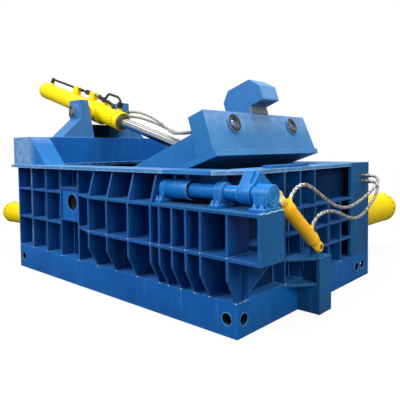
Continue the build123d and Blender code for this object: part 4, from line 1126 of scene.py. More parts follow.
@dataclass
class TipperShaftLine:
    """Pillow blocks, drum collar and crank dressing along the tipper shaft."""

    paints: Paints
    axis_y: float = -1.336
    axis_z: float = 1.284
    shelf: float = 1.148
    radius: float = 0.095
    bore: float = 0.0685
    foot_near: float = -1.486
    foot_far: float = -1.2285
    foot_thick: float = 0.034
    groove: float = 0.006
    cheek_share: float = 0.86
    web_share: float = 0.9
    spans: tuple[tuple[float, float], ...] = ((1.032, 1.117), (1.748, 1.845), (2.187, 2.336))
    collar_spans: tuple[Point, ...] = ((1.402, 1.420, 0.101), (1.988, 2.005, 0.080))
    set_screw: float = 2.050
    set_screw_turn: float = 75.0

    def build(self) -> None:
        """Builds the blocks, bolts and the parts that turn with the shaft."""
        blocks, bolts = Metalwork(), Metalwork()
        for x0, x1 in self.spans:
            self.housing(blocks, x0, x1, x1 == self.spans[-1][1])
            self.feet(blocks, bolts, x0, x1)
        blocks.piece("pillow_blocks", self.paints.tipper_blue, Body.FRAME, Slot.BLUE, ["shaft_bearings"])
        bolts.piece("frame_bolt_heads", self.paints.weld_blue, Body.FRAME, Slot.STEEL, ["frame_bolts"])
        self.collars()

    def housing(self, work: Metalwork, x0: float, x1: float, closed: bool) -> None:
        """Adds one bearing housing.

        Args:
            work: Mesh that takes it.
            x0: Left face.
            x1: Right face.
            closed: True for the end block with its cover.
        """
        r, b, e, g = self.radius, self.bore, 0.007, self.groove
        profile = [(b, x0), (b + 0.012, x0), (b + 0.014, x0 + g), (r - 0.016, x0 + g), (r - 0.014, x0),
                   (r - e, x0), (r, x0 + e), (r, x1 - e), (r - e, x1), (r - 0.014, x1)]
        if closed:
            profile += [(r - 0.016, x1 - 0.005), (r - 0.030, x1 - 0.005), (r - 0.032, x1 - 0.001),
                        (r - 0.050, x1 - 0.001), (r - 0.052, x1 - 0.006), (0, x1 - 0.006), (0, x1 - 0.016),
                        (b, x1 - 0.016), (b, x0)]
        else:
            profile += [(r - 0.016, x1 - g), (b + 0.014, x1 - g), (b + 0.012, x1), (b, x1), (b, x0)]
        work.lathe(profile, along_x(at(0, self.axis_y, self.axis_z)), 56)
        for near, far in ((-r, -r * self.cheek_share), (r * self.cheek_share, r)):
            work.block((x0 + 0.008, self.axis_y + near, self.shelf + self.foot_thick - 0.01),
                       (x1 - 0.008, self.axis_y + far, self.axis_z), 0.003)
        web = r * self.web_share
        work.block((x0 + 0.014, self.axis_y - web, self.shelf + 0.01),
                   (x1 - 0.014, self.axis_y + web, self.axis_z - b - 0.012), 0.003)

    def feet(self, work: Metalwork, bolts: Metalwork, x0: float, x1: float) -> None:
        """Adds a block's foot and its bolts.

        Args:
            work: Mesh of the blocks.
            bolts: Mesh of the bolts.
            x0: Left face.
            x1: Right face.
        """
        top = self.shelf + self.foot_thick
        work.block((x0, self.foot_near, self.shelf), (x1, self.foot_far, top), 0.005)
        inset = (x1 - x0) / 4
        y = (self.axis_y - self.radius + self.foot_near) / 2
        for x in (x0 + inset, x1 - inset):
            bolts.hex_bolt(Bolt.FOOT, at(x, y, top))
            bolts.lathe([(0, 0), (0.010, 0), (0.010, 0.012), (0.008, 0.014), (0, 0.014)],
                        at(x, y, top + 0.0225), 14)

    def collars(self) -> None:
        """Adds the drum's end collars and the crank hub's set screw."""
        work = Metalwork()
        b, e = self.bore, 0.005
        for x0, x1, r in self.collar_spans:
            work.lathe([(b, x0), (r - e, x0), (r, x0 + e), (r, x1 - e), (r - e, x1), (b, x1), (b, x0)],
                       along_x(at(0, self.axis_y, self.axis_z)), 48)
        turn = Matrix.Rotation(math.radians(self.set_screw_turn), 4, "X")
        work.lathe([(0, 0.084), (0.011, 0.084), (0.011, 0.093), (0.006, 0.093), (0.006, 0.088), (0, 0.088)],
                   at(self.set_screw, self.axis_y, self.axis_z) @ turn, 12)
        work.piece("tipper_collars", self.paints.weld_blue, Body.TIPPER, Slot.BLUE)


@dataclass
class TipperCylinder:
    """Small cylinder with gland ring, rounded foot, eye and ports."""

    paints: Paints
    foot: Point = (2.180, -0.290, 0.668)
    pin: tuple[float, float] = (-1.039, 1.240)
    radius: float = 0.067
    rod: float = 0.0353
    rod_gap: float = 0.0003
    bore: float = 0.045
    start: float = 0.095
    end: float = 0.815
    gland: float = 0.060
    cap_wall: float = 0.080
    ports: tuple[float, ...] = (0.240, 0.755)
    foot_bore: float = 0.0252
    foot_eye: float = 0.050
    foot_half: float = 0.032
    foot_cap: float = 0.064
    piston: tuple[float, float] = (0.300, 0.370)
    eye: float = 0.056
    eye_half: float = 0.026
    pin_radius: float = 0.030
    pin_left: float = -0.093

    def place(self) -> Matrix:
        """Place of the foot pin, with Z up the cylinder's line."""
        lean = math.atan2(self.foot[1] - self.pin[0], self.pin[1] - self.foot[2])
        return at(*self.foot) @ Matrix.Rotation(lean, 4, "X")

    def build(self) -> None:
        """Builds the barrel and the rod."""
        self.build_barrel()
        self.build_rod()

    def build_barrel(self) -> None:
        """Barrel with its foot eye, gland and ports."""
        work = Metalwork()
        r, rod, low, high = self.radius, self.rod, self.start, self.end
        cap = [(0, low), (r * 0.55, low), (r * 0.85, low + 0.012), (r, low + 0.04), (r, low + 0.085),
               (r + 0.004, low + 0.089), (r + 0.004, low + 0.097), (r, low + 0.101)]
        head = [(r, high - 0.115), (r + 0.008, high - 0.108), (r + 0.008, high - 0.020),
                (r + 0.002, high - 0.012), (r - 0.008, high - 0.012), (r - 0.010, high), (rod + 0.006, high),
                (rod, high - 0.006), (rod, high - self.gland)]
        inside = [(self.bore, high - self.gland), (self.bore, low + self.cap_wall), (0, low + self.cap_wall)]
        work.lathe(cap + head + inside, self.place(), 48)
        b, e, h = self.foot_bore, self.foot_eye, self.foot_half
        work.lathe([(b, -h), (e - 0.004, -h), (e, -h + 0.004), (e, h - 0.004), (e - 0.004, h), (b, h),
                    (b, -h)], along_x(self.place()), 36)
        c = self.foot_cap
        angles = [math.radians(a) for a in range(-80, 1, 16)]
        bowl = [(c * math.cos(a), c * math.sin(a) + 0.002) for a in angles]
        work.lathe([(0, -c + 0.002)] + bowl + [(c, low + 0.03), (0, low + 0.03)],
                   self.place() @ Matrix.Diagonal((0.5, 1, 1, 1)), 40)
        for s in self.ports:
            work.lathe([(0, r - 0.012), (0.026, r - 0.012), (0.026, r + 0.012), (0.021, r + 0.016),
                        (0.020, r + 0.045), (0, r + 0.045)], along_y(self.place() @ at(0, 0, s)), 20)
        work.piece("tipper_cylinder_barrel", self.paints.amber, Body.TIPPER_CYLINDER, Slot.AMBER,
                   ["tipper_barrel"])

    def build_rod(self) -> None:
        """Rod with its painted eye and the crank pin."""
        reach = math.hypot(self.foot[1] - self.pin[0], self.pin[1] - self.foot[2])
        rod, eye = Metalwork(), Metalwork()
        shaft, ring, (low, high) = self.rod - self.rod_gap, self.bore - 0.002, self.piston
        tip = reach - 0.04
        rod.lathe([(0, low), (ring, low), (ring, high), (shaft, high), (shaft, tip), (0, tip)],
                  self.place(), 40)
        across = along_x(self.place() @ at(0, 0, reach))
        p, left = self.pin_radius, self.pin_left
        rod.lathe([(0, left), (p - 0.004, left), (p, left + 0.004), (p, 0), (0, 0)], across, 32)
        rod.piece("tipper_rod_and_pin", self.paints.chrome, Body.TIPPER_PISTON, Slot.CHROME, ["tipper_rod"])
        e, h = self.eye, self.eye_half
        eye.lathe([(0, -h), (e - 0.006, -h), (e, -h + 0.006), (e, h - 0.006), (e - 0.006, h), (p + 0.003, h),
                   (p, h - 0.004), (0, h - 0.004)], across, 40)
        eye.lathe([(0, reach - 0.085), (0.044, reach - 0.085), (0.046, reach - 0.08), (0.046, tip),
                   (0, reach - 0.03)], self.place(), 6)
        eye.piece("tipper_rod_eye", self.paints.cream, Body.TIPPER_PISTON, Slot.YELLOW)


@dataclass
class LidDetails:
    """Lock sockets and weld seams on the lid."""

    paints: Paints
    hinge: Point = (-0.614, 0.0, 1.024)
    angle: float = 18.65
    front: float = 2.235
    middle: float = -0.158
    sockets: tuple[float, ...] = (-0.723, 0.407)
    socket_rise: float = 0.210
    socket_bore: float = 0.052
    ring_bore: float = 0.068
    ring: float = 0.096
    sleeve: float = 0.110
    near: float = -1.158
    far: float = 0.842
    beam_back: float = 2.018
    plate_top: float = -0.082
    plate_back: float = 0.2
    side_top: float = 0.165
    beam_top: float = 0.343
    rib_offsets: tuple[float, ...] = (-0.640, -0.340, 0.340, 0.640)
    rib_half: float = 0.0125
    hook_sides: tuple[float, ...] = (-0.348, -0.036)
    hook_front: float = 2.225

    def place(self) -> Matrix:
        """Place of the hinge, with X along the lid as it stands at rest."""
        return at(*self.hinge) @ Matrix.Rotation(-math.radians(self.angle), 4, "Y")

    def build(self) -> None:
        """Builds the lock sockets and the welds."""
        self.build_sockets()
        self.build_seams()

    def build_sockets(self) -> None:
        """Ring, painted sleeve, bore liner and plug of each lock socket."""
        rings, sleeves, liners, plugs = Metalwork(), Metalwork(), Metalwork(), Metalwork()
        f, b, inner, outer, sleeve = self.front, self.socket_bore, self.ring_bore, self.ring, self.sleeve
        for y in self.sockets:
            place = along_x(self.place() @ at(0, y, self.socket_rise))
            rings.lathe([(inner, f), (inner, f + 0.018), (inner + 0.004, f + 0.022),
                         (outer - 0.004, f + 0.022), (outer, f + 0.018), (outer, f), (inner, f)], place, 56)
            sleeves.lathe([(outer, f - 0.002), (outer, f + 0.016), (outer + 0.003, f + 0.020),
                           (sleeve - 0.004, f + 0.020), (sleeve, f + 0.014), (sleeve, f), (outer, f - 0.002)],
                          place, 56)
            liners.lathe([(b, f - 0.06), (b, f + 0.016), (b + 0.003, f + 0.020), (inner - 0.004, f + 0.020),
                          (inner, f + 0.016), (inner, f), (b + 0.006, f - 0.06), (b, f - 0.06)], place, 56)
            plugs.lathe([(b, f - 0.01), (b - 0.004, f + 0.002), (b - 0.016, f + 0.010),
                         (b - 0.034, f + 0.014), (0, f + 0.015)], place, 40)
        rings.piece("lock_socket_rings", self.paints.socket, Body.LID, Slot.OLIVE, ["lock_sockets"])
        sleeves.piece("lock_socket_sleeves", self.paints.lid_front_blue, Body.LID, Slot.BLUE)
        liners.piece("lock_socket_liners", self.paints.liner, Body.LID, Slot.STEEL)
        plugs.piece("lock_socket_plugs", self.paints.plug, Body.LID, Slot.STEEL)

    def build_seams(self) -> None:
        """Weld seams of the press plate, its ribs, the front beam and the hook."""
        work = Metalwork()
        f, back, plate, top = self.front, self.beam_back, self.plate_top, self.beam_top
        seams = [((f, self.near + 0.01, plate), (f, self.far - 0.01, plate), Bead.LIGHT),
                 ((back, self.near + 0.06, self.side_top), (back, -0.35, self.side_top), Bead.FINE),
                 ((self.plate_back + 0.02, self.far, plate), (back, self.far, plate), Bead.LIGHT)]
        for offset in self.rib_offsets:
            for side in (-self.rib_half, self.rib_half):
                y = self.middle + offset + side
                seams.append(((self.plate_back, y, plate), (back, y, plate), Bead.FINE))
        for y in self.hook_sides:
            seams.append(((back, y, top), (self.hook_front, y, top), Bead.EVEN))
            seams.append(((back, y, self.side_top + 0.005), (back, y, top), Bead.LIGHT))
        for start, end, bead in seams:
            work.weld(self.place() @ Vector(start), self.place() @ Vector(end), bead)
        work.piece("lid_weld_seams", self.paints.weld_blue, Body.LID, Slot.BLUE)


@dataclass
class FrameWelds:
    """Weld seams, hole rims and trunnion bosses on the fixed body."""

    paints: Paints
    front: float = -1.408
    far: float = 1.408
    wall: float = -1.228
    deck: float = 0.320
    top: float = 1.440
    half: float = 0.0125
    front_ribs: tuple[float, ...] = (-1.9875, -1.596, -1.216, -0.856, -0.456)
    shelf_ribs: tuple[float, ...] = (-0.062, 0.286, 0.656, 1.010, 1.140, 1.316, 1.498, 1.680, 1.9875)
    shelf_outer: float = -1.532
    shelf_top: float = 1.148
    middle_shelf: float = 0.748
    end_plate: tuple[float, float] = (2.306, 2.335)
    end_plate_far: float = -1.18
    right_ribs: tuple[float, ...] = (-0.6294, -0.3295, -0.0253, 0.2844, 0.597)
    right_wall: float = 1.860
    right_face: float = 2.0
    right_top: float = 1.03
    rim_top: float = 1.480
    cheek_ends: tuple[float, float] = (-2.026, -1.128)
    cheek_seam: tuple[float, float] = (-2.02, -1.14)
    cheek_near: float = -1.448
    cheek_thick: float = 0.280
    beam_front: float = -1.560
    beam_ends: tuple[float, float] = (-1.168, 1.128)
    beam_top: float = 1.866
    tower_spans: tuple[tuple[float, float], ...] = ((-0.940, -0.380), (0.064, 0.624))
    tower_sides: tuple[float, float] = (-1.870, -1.570)
    # Height of the hand-run bead along the end plate's top, at points along Y
    wander: tuple[tuple[float, float], ...] = (
        (-1.530, 0.000), (-1.478, 0.006), (-1.430, -0.004), (-1.372, 0.008), (-1.318, 0.002), (-1.262, 0.012),
        (-1.215, 0.004), (-1.182, 0.010))
    lift_hole: float = 0.056
    lift_height: float = 0.160
    lift_x: float = 1.881
    lift_ends: tuple[float, ...] = (-1.309, 1.055, 1.217)
    hinge_hole: float = 0.105
    hinge_place: Point = (-0.614, -1.390, 1.024)
    trunnion: tuple[float, float] = (-1.720, 2.272)
    tower_faces: tuple[float, float] = (-0.620, 0.304)
    trunnion_bore: float = 0.060
    boss: float = 0.112

    def build(self) -> None:
        """Builds the seams, the hole rims and the trunnion bosses."""
        work = Metalwork()
        self.rib_seams(work)
        self.head_seams(work)
        work.piece("frame_weld_seams", self.paints.weld_blue, Body.FRAME, Slot.BLUE)
        self.pale_welds()
        self.hole_rims()
        self.trunnion_caps()

    def rib_seams(self, work: Metalwork) -> None:
        """Adds the seams on both sides of each rib.

        Args:
            work: Mesh that takes them.
        """
        deck, wall, shelf, right = self.deck, self.wall, self.middle_shelf, self.right_wall
        for side in (-self.half, self.half):
            for x in (rib + side for rib in self.front_ribs):
                work.weld((x, wall, deck), (x, wall, self.top), Bead.LIGHT)
                work.weld((x, self.front + 0.01, deck), (x, wall, deck), Bead.HEAVY)
            for x in (rib + side for rib in self.shelf_ribs):
                work.weld((x, self.shelf_outer + 0.01, shelf), (x, wall, shelf), Bead.LIGHT)
                work.weld((x, self.front + 0.01, deck), (x, wall, deck), Bead.HEAVY)
            for y in (rib + side for rib in self.right_ribs):
                work.weld((right, y, deck), (self.right_face - 0.01, y, deck), Bead.EVEN)
                work.weld((right, y, deck), (right, y, self.right_top), Bead.LIGHT)

    def head_seams(self, work: Metalwork) -> None:
        """Adds the seams of the end plate, cheeks, cross beam and towers.

        Args:
            work: Mesh that takes them.
        """
        x, z = self.end_plate[0], self.shelf_top
        work.weld((x, self.shelf_outer, z), (x, self.end_plate_far, z), Bead.EVEN)
        near, z = self.cheek_near, self.rim_top
        for x in self.cheek_ends:
            work.weld((x, near, z), (x, near + self.cheek_thick, z), Bead.FULL)
        left, right = self.cheek_seam
        for y in (near, self.far):
            work.weld((left, y, z), (right, y, z), Bead.HEAVY)
        x, (y0, y1) = self.beam_front, self.beam_ends
        work.weld((x, y0, z), (x, y1, z), Bead.HEAVY)
        z = self.beam_top
        for y0, y1 in self.tower_spans:
            for x in self.tower_sides:
                work.weld((x, y0, z), (x, y1, z), Bead.FULL)

    def pale_welds(self) -> None:
        """Adds nearly white weld ends: a painted highlight of the lit deck edge at the ribs' feet, and
        chalked weld along the end plate's top.
        """
        work = Metalwork()
        face, deck, right = self.front - 0.001, self.deck, self.right_face
        for x in self.front_ribs + self.shelf_ribs:
            work.weld((x - 0.010, face, deck), (x + 0.012, face, deck), Bead.LIGHT)
        outer, shelf = self.shelf_outer, self.middle_shelf - 0.002
        for x in self.shelf_ribs:
            work.weld((x - 0.008, outer, shelf), (x + 0.008, outer, shelf), Bead.FINE)
        for y in self.right_ribs:
            work.weld((right, y - 0.010, deck), (right, y + 0.012, deck), Bead.LIGHT)
        x, z = self.end_plate[1], self.shelf_top
        for (y0, rise0), (y1, rise1) in zip(self.wander, self.wander[1:]):
            work.weld((x, y0, z + rise0), (x, y1, z + rise1), Bead.FINE)
        work.weld((right, -1.385, deck + 0.002), (right, -1.255, deck + 0.004), Bead.FINE)
        work.piece("pale_weld_ends_chalk_and_highlight", self.paints.weld_pale_highlight, Body.FRAME, Slot.BLUE)

    def rim(self, hole: float) -> list[tuple[float, float]]:
        """Profile of a hole's worn rim, of that hole radius."""
        return [(hole, -0.006), (hole, 0.001), (hole + 0.002, 0.002), (hole + 0.004, 0.002),
                (hole + 0.006, 0.0), (hole + 0.001, -0.006), (hole, -0.006)]

    def hole_rims(self) -> None:
        """Adds the worn rims of the lifting holes and of the hinge bore, and painted shade on their walls."""
        rims, walls = Metalwork(), Metalwork()
        z, quarter = self.lift_height, math.pi / 2
        places = [at(x, y, z) @ Matrix.Rotation(turn, 4, "X") for x in (-self.lift_x, self.lift_x)
                  for y, turn in ((self.front, quarter), (self.far, -quarter))]
        # The near corner of the left end has no hole
        ends = [(side, y) for y in self.lift_ends for side in (-1, 1) if side > 0 or y > 0]
        places += [at(side * self.right_face, y, z) @ Matrix.Rotation(side * quarter, 4, "Y")
                   for side, y in ends]
        hole = self.lift_hole
        for place in places:
            rims.lathe(self.rim(hole), place, 40)
            walls.band(hole + 0.0002, hole + 0.0012, -0.034, -0.004, place, 40)
        hinge, hole = at(*self.hinge_place) @ Matrix.Rotation(quarter, 4, "X"), self.hinge_hole
        rims.lathe(self.rim(hole), hinge, 56)
        walls.band(hole - 0.0002, hole + 0.0012, -0.054, -0.003, hinge, 56)
        rims.piece("hole_rims", self.paints.weld_blue, Body.FRAME, Slot.BLUE)
        walls.piece("hole_wall_painted_shade", self.paints.chamber, Body.FRAME, Slot.BLUE)

    def trunnion_caps(self) -> None:
        """Adds the bosses over the trunnion bores, with their keeper plates and screws."""
        bosses, keepers, screws = Metalwork(), Metalwork(), Metalwork()
        b, outer = self.trunnion_bore, self.boss
        cap = [(b, 0.016), (outer - 0.016, 0.016), (outer - 0.008, 0.010), (outer, 0), (b, 0), (b, 0.016)]
        x, z = self.trunnion
        for y, turn in zip(self.tower_faces, (math.pi / 2, -math.pi / 2)):
            face = at(x, y, z) @ Matrix.Rotation(turn, 4, "X")
            bosses.lathe(cap, face, 48)
            bosses.disc(b + 0.002, 0, 0.010, face, 32)
            keepers.block((-0.132, -0.080, 0.008), (0.030, 0.080, 0.026), 0.008, face)
            for across, up in ((-0.060, 0.058), (-0.094, -0.044), (-0.006, -0.054)):
                screws.hex_bolt(Bolt.KEEPER, face @ at(across, up, 0.025))
        bosses.piece("trunnion_cap_discs", self.paints.tower_blue, Body.FRAME, Slot.BLUE, ["trunnion_caps"])
        keepers.piece("trunnion_keepers", self.paints.keeper, Body.FRAME, Slot.STEEL)
        screws.piece("trunnion_keeper_screws", self.paints.black, Body.FRAME, Slot.BLACK)


@dataclass(frozen=True)
class HoseRoute:
    """One hose: its control points, the CAD node it stands for, and the body at its moving end."""

    node: str
    moving: Body
    length: float
    points: tuple[Point, ...]
    blend_from: Point
    blend_to: Point


@dataclass
class Hoses:
    """Braided hoses with crimped ferrules and hexagon unions."""

    paints: Paints
    radius: float = 0.018
    ring: int = 14
    ferrule: float = 0.060
    crimps: int = 4
    crimp_pitch: float = 0.012
    ferrule_sharp: float = 0.6
    routes: tuple[HoseRoute, ...] = field(default_factory=lambda: (
        HoseRoute("tipper_hose_upper", Body.TIPPER_CYLINDER, 2.347, (
            (2.06, 1.209, 1.313), (2.15, 1.209, 1.313), (2.2123, 1.1759, 1.2841), (2.2364, 1.1076, 1.235),
            (2.2284, 0.9889, 1.1637), (2.2063, 0.8282, 1.0933),
            (2.1902, 0.6473, 1.0366), (2.1902, 0.4361, 1.001),
            (2.2042, 0.1839, 1.0149), (2.2202, -0.0903, 1.0883),
            (2.2324, -0.3176, 1.1912), (2.2403, -0.4985, 1.275),
            (2.2403, -0.6209, 1.3202), (2.2241, -0.7033, 1.3323),
            (2.18, -0.7723, 1.2804), (2.18, -0.8269, 1.2089)),
            (2.19, 0.65, 1.04), (2.23, -0.62, 1.32)),
        HoseRoute("tipper_hose_lower", Body.TIPPER_CYLINDER, 1.952, (
            (2.06, 1.209, 1.239), (2.15, 1.209, 1.239), (2.2066, 1.1777, 1.2057), (2.2309, 1.117, 1.1389),
            (2.2227, 1.0281, 1.0417), (2.2065, 0.8965, 0.9466),
            (2.2005, 0.7347, 0.8757), (2.2004, 0.5324, 0.8533),
            (2.2207, 0.2897, 0.9038), (2.2367, 0.0673, 0.9746),
            (2.2407, -0.1248, 1.0211), (2.2306, -0.2665, 1.0269),
            (2.18, -0.363, 0.9678), (2.18, -0.4176, 0.8963)),
            (2.20, 0.70, 0.87), (2.23, -0.22, 1.03)),
        HoseRoute("lid_hose_near", Body.LID, 2.994, (
            (-1.51, 0.25, 2.285), (-1.42, 0.25, 2.285), (-1.2, 0.24, 2.258), (-0.9599, 0.212, 2.19),
            (-0.74, 0.166, 2.1121), (-0.5401, 0.106, 2.0339),
            (-0.3501, 0.026, 1.9621), (-0.1699, -0.08, 1.9098),
            (0.02, -0.21, 1.8841), (0.26, -0.37, 1.8741), (0.5101, -0.53, 1.872), (0.7401, -0.68, 1.8701),
            (0.92, -0.78, 1.8721), (1.06, -0.83, 1.9056), (1.1452, -0.83, 1.9344)),
            (-1.2, 0.24, 2.25), (0.90, -0.75, 1.88)),
        HoseRoute("lid_hose_far", Body.LID, 2.926, (
            (-1.51, 0.25, 2.211), (-1.42, 0.25, 2.211), (-1.2, 0.242, 2.1761), (-0.96, 0.222, 2.1159),
            (-0.7401, 0.19, 2.0559), (-0.5399, 0.14, 1.998),
            (-0.3499, 0.08, 1.9481), (-0.1601, -0.01, 1.9101),
            (0.0399, -0.13, 1.8859), (0.27, -0.27, 1.8759), (0.5101, -0.41, 1.8739), (0.7401, -0.56, 1.8701),
            (0.9201, -0.66, 1.872), (1.06, -0.71, 1.9056), (1.1452, -0.71, 1.9344)),
            (-1.2, 0.24, 2.18), (0.90, -0.64, 1.88)),
    ))

    def centreline(self, route: HoseRoute) -> list[Vector]:
        """Reads points from the smooth spline that the route's points control.

        Args:
            route: The hose's route.

        Returns:
            Points along the hose.
        """
        curve = bpy.data.curves.new(route.node, "CURVE")
        curve.dimensions = "3D"
        spline = curve.splines.new("NURBS")
        spline.points.add(len(route.points) - 1)
        for target, point in zip(spline.points, route.points):
            target.co = (*point, 1)
        spline.order_u = 3
        spline.use_endpoint_u = True
        spline.resolution_u = 10
        holder = bpy.data.objects.new(route.node, curve)
        bpy.context.scene.collection.objects.link(holder)
        depsgraph = bpy.context.evaluated_depsgraph_get()
        mesh = bpy.data.meshes.new_from_object(holder.evaluated_get(depsgraph))
        points = [vertex.co.copy() for vertex in mesh.vertices]
        bpy.data.meshes.remove(mesh)
        bpy.data.objects.remove(holder)
        bpy.data.curves.remove(curve)
        return points

    def build(self) -> None:
        """Builds every hose and its end fittings."""
        fixed, on_lid = Metalwork(), Metalwork()
        for route in self.routes:
            line = self.centreline(route)
            tube = self.tube(route, line)
            sleeves = self.sleeves(route, line)
            self.union(fixed, line[0], line[0] - line[1])
            if route.moving is Body.LID:
                self.union(on_lid, line[-1], line[-1] - line[-2])
        fixed.piece("frame_hose_unions", self.paints.zinc, Body.FRAME, Slot.FITTING, ["frame_fittings"])
        on_lid.piece("lid_hose_unions", self.paints.zinc, Body.LID, Slot.FITTING, ["lid_fittings"])

    def frames(self, line: Sequence[Vector]) -> list[Matrix]:
        """Places along a line, each with Z along it and with as little twist as can be.

        Args:
            line: Points of the line.

        Returns:
            One place per point.
        """
        places = []
        side = Vector((0, 0, 1)).cross(line[1] - line[0]).normalized()
        for i, point in enumerate(line):
            way = (line[min(i + 1, len(line) - 1)] - line[max(i - 1, 0)]).normalized()
            side = (side - way * side.dot(way)).normalized()
            turn = Matrix((side, way.cross(side), way)).transposed().to_4x4()
            places.append(Matrix.Translation(point) @ turn)
        return places

    def tube(self, route: HoseRoute, line: Sequence[Vector]) -> bpy.types.Object:
        """Sweeps a ring along the hose.

        Args:
            route: The hose's route.
            line: Its centreline.

        Returns:
            The tube.
        """
        bm = bmesh.new()
        lay = bm.verts.layers.float_vector.new("lay")
        travelled = 0.0
        previous: list[bmesh.types.BMEdge] | None = None
        for i, place in enumerate(self.frames(line)):
            if i:
                travelled += (line[i] - line[i - 1]).length
            made = bmesh.ops.create_circle(bm, cap_ends=i in (0, len(line) - 1), segments=self.ring,
                                           radius=self.radius, matrix=place)["verts"]
            back = place.inverted()
            for vert in made:
                local = back @ vert.co
                vert[lay] = (local.x / self.radius, local.y / self.radius, travelled)
            inside = set(made)
            edges = [e for e in {e for v in made for e in v.link_edges} if all(v in inside for v in e.verts)]
            if previous is not None:
                bmesh.ops.bridge_loops(bm, edges=previous + edges)
            previous = edges
        bmesh.ops.recalc_face_normals(bm, faces=bm.faces)
        for face in bm.faces:
            face.smooth = len(face.verts) == 4
        obj = linked(route.node + "_braid", bm, self.paints.braid)
        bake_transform(obj)
        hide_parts(route.node)
        LOG.info("%s: %.3f m", obj.name, travelled)
        return obj

    def sleeves(self, route: HoseRoute, line: Sequence[Vector]) -> bpy.types.Object:
        """Crimped ferrules over both ends of a hose.

        Args:
            route: The hose's route.
            line: Its centreline.

        Returns:
            The ferrules.
        """
        work = Metalwork()
        r = self.radius
        for end, after in ((line[0], line[1]), (line[-1], line[-2])):
            turn = (after - end).to_track_quat("Z", "Y").to_matrix().to_4x4()
            profile = [(r * 0.9, 0.0), (r * 1.32, 0.0)]
            for i in range(self.crimps):
                profile += [(r * 1.36, self.crimp_pitch * (i + 0.5)), (r * 1.28, self.crimp_pitch * (i + 1))]
            profile += [(r * 1.2, self.ferrule - 0.002), (r * 0.9, self.ferrule), (r * 0.9, 0.0)]
            work.lathe(profile, Matrix.Translation(end) @ turn, 24)
        for edge in work.bm.edges:
            edge.smooth = edge.calc_face_angle(0) < self.ferrule_sharp
        obj = linked(route.node + "_ferrules", work.bm, self.paints.steel)
        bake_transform(obj)
        return obj

    def union(self, work: Metalwork, end: Vector, way: Vector) -> None:
        """Adds a hexagon union between a hose's end and what it screws into.

        Args:
            work: Mesh that takes it.
            end: End of the hose.
            way: Direction from the hose into the union.
        """
        place = Matrix.Translation(end) @ way.to_track_quat("Z", "Y").to_matrix().to_4x4()
        work.lathe([(0, 0), (0.025, 0), (0.027, 0.003), (0.027, 0.025), (0.025, 0.028), (0, 0.028)], place, 6)
        work.disc(0.015, 0.026, 0.044, place, 24)
        work.lathe([(0, 0.042), (0.025, 0.042), (0.027, 0.045), (0.027, 0.060), (0, 0.060)], place, 6)


@dataclass(frozen=True)
class Lamp:
    """One soft round lamp."""

    name: str
    spot: Point
    aim: Point
    size: float
    power: float
    tone: str = "#FFFFFF"

    def light(self) -> None:
        """Hangs the lamp and turns it to what it lights."""
        data = bpy.data.lights.new(self.name, "AREA")
        data.shape = "DISK"
        data.size = self.size
        data.energy = self.power
        data.color = linear(self.tone)[:3]
        lamp = bpy.data.objects.new(self.name, data)
        way = Vector(self.aim) - Vector(self.spot)
        lamp.matrix_world = at(*self.spot) @ way.to_track_quat("-Z", "Y").to_matrix().to_4x4()
        bpy.context.scene.collection.objects.link(lamp)


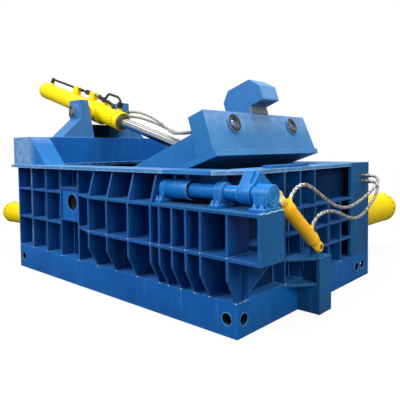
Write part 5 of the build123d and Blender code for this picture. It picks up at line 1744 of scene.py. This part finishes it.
@dataclass
class Studio:
    """Camera, soft light and a plain pale floor."""

    eye: Point = (4.410, -4.491, 1.677)
    yaw: float = 42.55
    pitch: float = 2.97
    roll: float = -0.65
    focal_px: float = 455.985
    frame_px: float = 400.0
    axis_px: float = 172.39
    sensor_mm: float = 36.0
    floor_half: float = 60.0
    # The floor glows by the first share near the press and by the second one further out
    floor_reach: tuple[float, float] = (2.8, 6.0)
    floor_glow: tuple[float, float] = (0.9, 1.0)
    sky: float = 0.5
    lamps: tuple[Lamp, ...] = (
        Lamp("key", (-1.5, -7.5, 7.5), (0.0, -0.5, 1.2), 6.0, 880.0),
        Lamp("side", (8.0, -2.5, 4.5), (1.6, -0.6, 1.2), 5.0, 350.0, "#FFF0DA"),
        Lamp("top", (2.5, 0.5, 8.5), (0.6, 0.0, 1.0), 6.0, 460.0),
        # Two small lamps that the lid's rod mirrors as bright bands
        Lamp("strip_far", (-4.3, 2.2, 7.4), (-0.6, -0.16, 1.93), 1.7, 10.0),
        Lamp("strip_near", (-4.3, -2.2, 7.55), (-0.6, -0.16, 1.93), 1.9, 12.0))

    def build(self) -> None:
        """Sets the stage."""
        self.camera()
        self.lights()
        self.floor()
        bpy.context.scene.view_settings.view_transform = "Standard"

    def camera(self) -> None:
        """Places the camera where the photograph was taken from."""
        data = bpy.data.cameras.new("camera")
        data.sensor_width = self.sensor_mm
        data.sensor_fit = "HORIZONTAL"
        data.lens = self.sensor_mm * self.focal_px / self.frame_px
        data.shift_y = (self.axis_px - self.frame_px / 2) / self.frame_px
        data.clip_end = 200.0
        camera = bpy.data.objects.new("camera", data)
        turn = (Matrix.Rotation(math.radians(self.yaw), 4, "Z")
                @ Matrix.Rotation(math.radians(90 - self.pitch), 4, "X")
                @ Matrix.Rotation(math.radians(self.roll), 4, "Z"))
        camera.matrix_world = at(*self.eye) @ turn
        bpy.context.scene.collection.objects.link(camera)
        bpy.context.scene.camera = camera

    def lights(self) -> None:
        """Adds the soft lamps and an even sky."""
        for lamp in self.lamps:
            lamp.light()
        world = bpy.data.worlds.new("sky")
        bpy.context.scene.world = world
        world.use_nodes = True
        tree = world.node_tree
        tree.nodes.clear()
        rays = add_node(tree, "ShaderNodeLightPath")
        soft = add_node(tree, "ShaderNodeBackground", inputs={0: linear("#F1F3F4"), 1: self.sky})
        white = add_node(tree, "ShaderNodeBackground", inputs={0: linear("#FFFFFF"), 1: 1.0})
        both = add_node(tree, "ShaderNodeMixShader", inputs={
            0: rays.outputs["Is Camera Ray"], 1: soft.outputs[0], 2: white.outputs[0]})
        add_node(tree, "ShaderNodeOutputWorld", inputs={0: both.outputs[0]})

    def floor(self) -> None:
        """Lays a pale floor that keeps a faint shadow and runs out to white."""
        bm = bmesh.new()
        bmesh.ops.create_grid(bm, x_segments=1, y_segments=1, size=self.floor_half)
        material = bpy.data.materials.new("pale_floor")
        material.use_nodes = True
        tree = material.node_tree
        tree.nodes.clear()
        rays = add_node(tree, "ShaderNodeLightPath")
        camera_ray = rays.outputs["Is Camera Ray"]
        # The workshop yard under the press throws little light back; the camera still sees it pale
        tone = mixed(tree, camera_ray, "#6C6E70", "#F4F4F4")
        matt = add_node(tree, "ShaderNodeBsdfDiffuse", inputs={0: tone})
        bright = add_node(tree, "ShaderNodeEmission", inputs={0: linear("#FFFFFF"), 1: 1.0})
        place = add_node(tree, "ShaderNodeTexCoord").outputs["Object"]
        away = add_node(tree, "ShaderNodeVectorMath", {"operation": "LENGTH"}, {0: place})
        spread = ramp(tree, away.outputs["Value"], *self.floor_reach, *self.floor_glow)
        both = add_node(tree, "ShaderNodeMixShader", inputs={
            0: calc(tree, "MULTIPLY", camera_ray, spread), 1: matt.outputs[0], 2: bright.outputs[0]})
        add_node(tree, "ShaderNodeOutputMaterial", inputs={0: both.outputs[0]})
        linked("floor", bm, material)


def main() -> None:
    """Builds the press's looks in order."""
    logging.basicConfig(level=logging.INFO, format="%(message)s")
    Studio().build()
    paints = Paints()
    PlateWork(paints).dress()
    Hoses(paints).build()
    LidCylinder(paints).build()
    FixedRamCylinders(paints).build()
    TipperShaftLine(paints).build()
    TipperCylinder(paints).build()
    LidDetails(paints).build()
    FrameWelds(paints).build()
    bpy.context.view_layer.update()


if __name__ == "__main__":
    main()
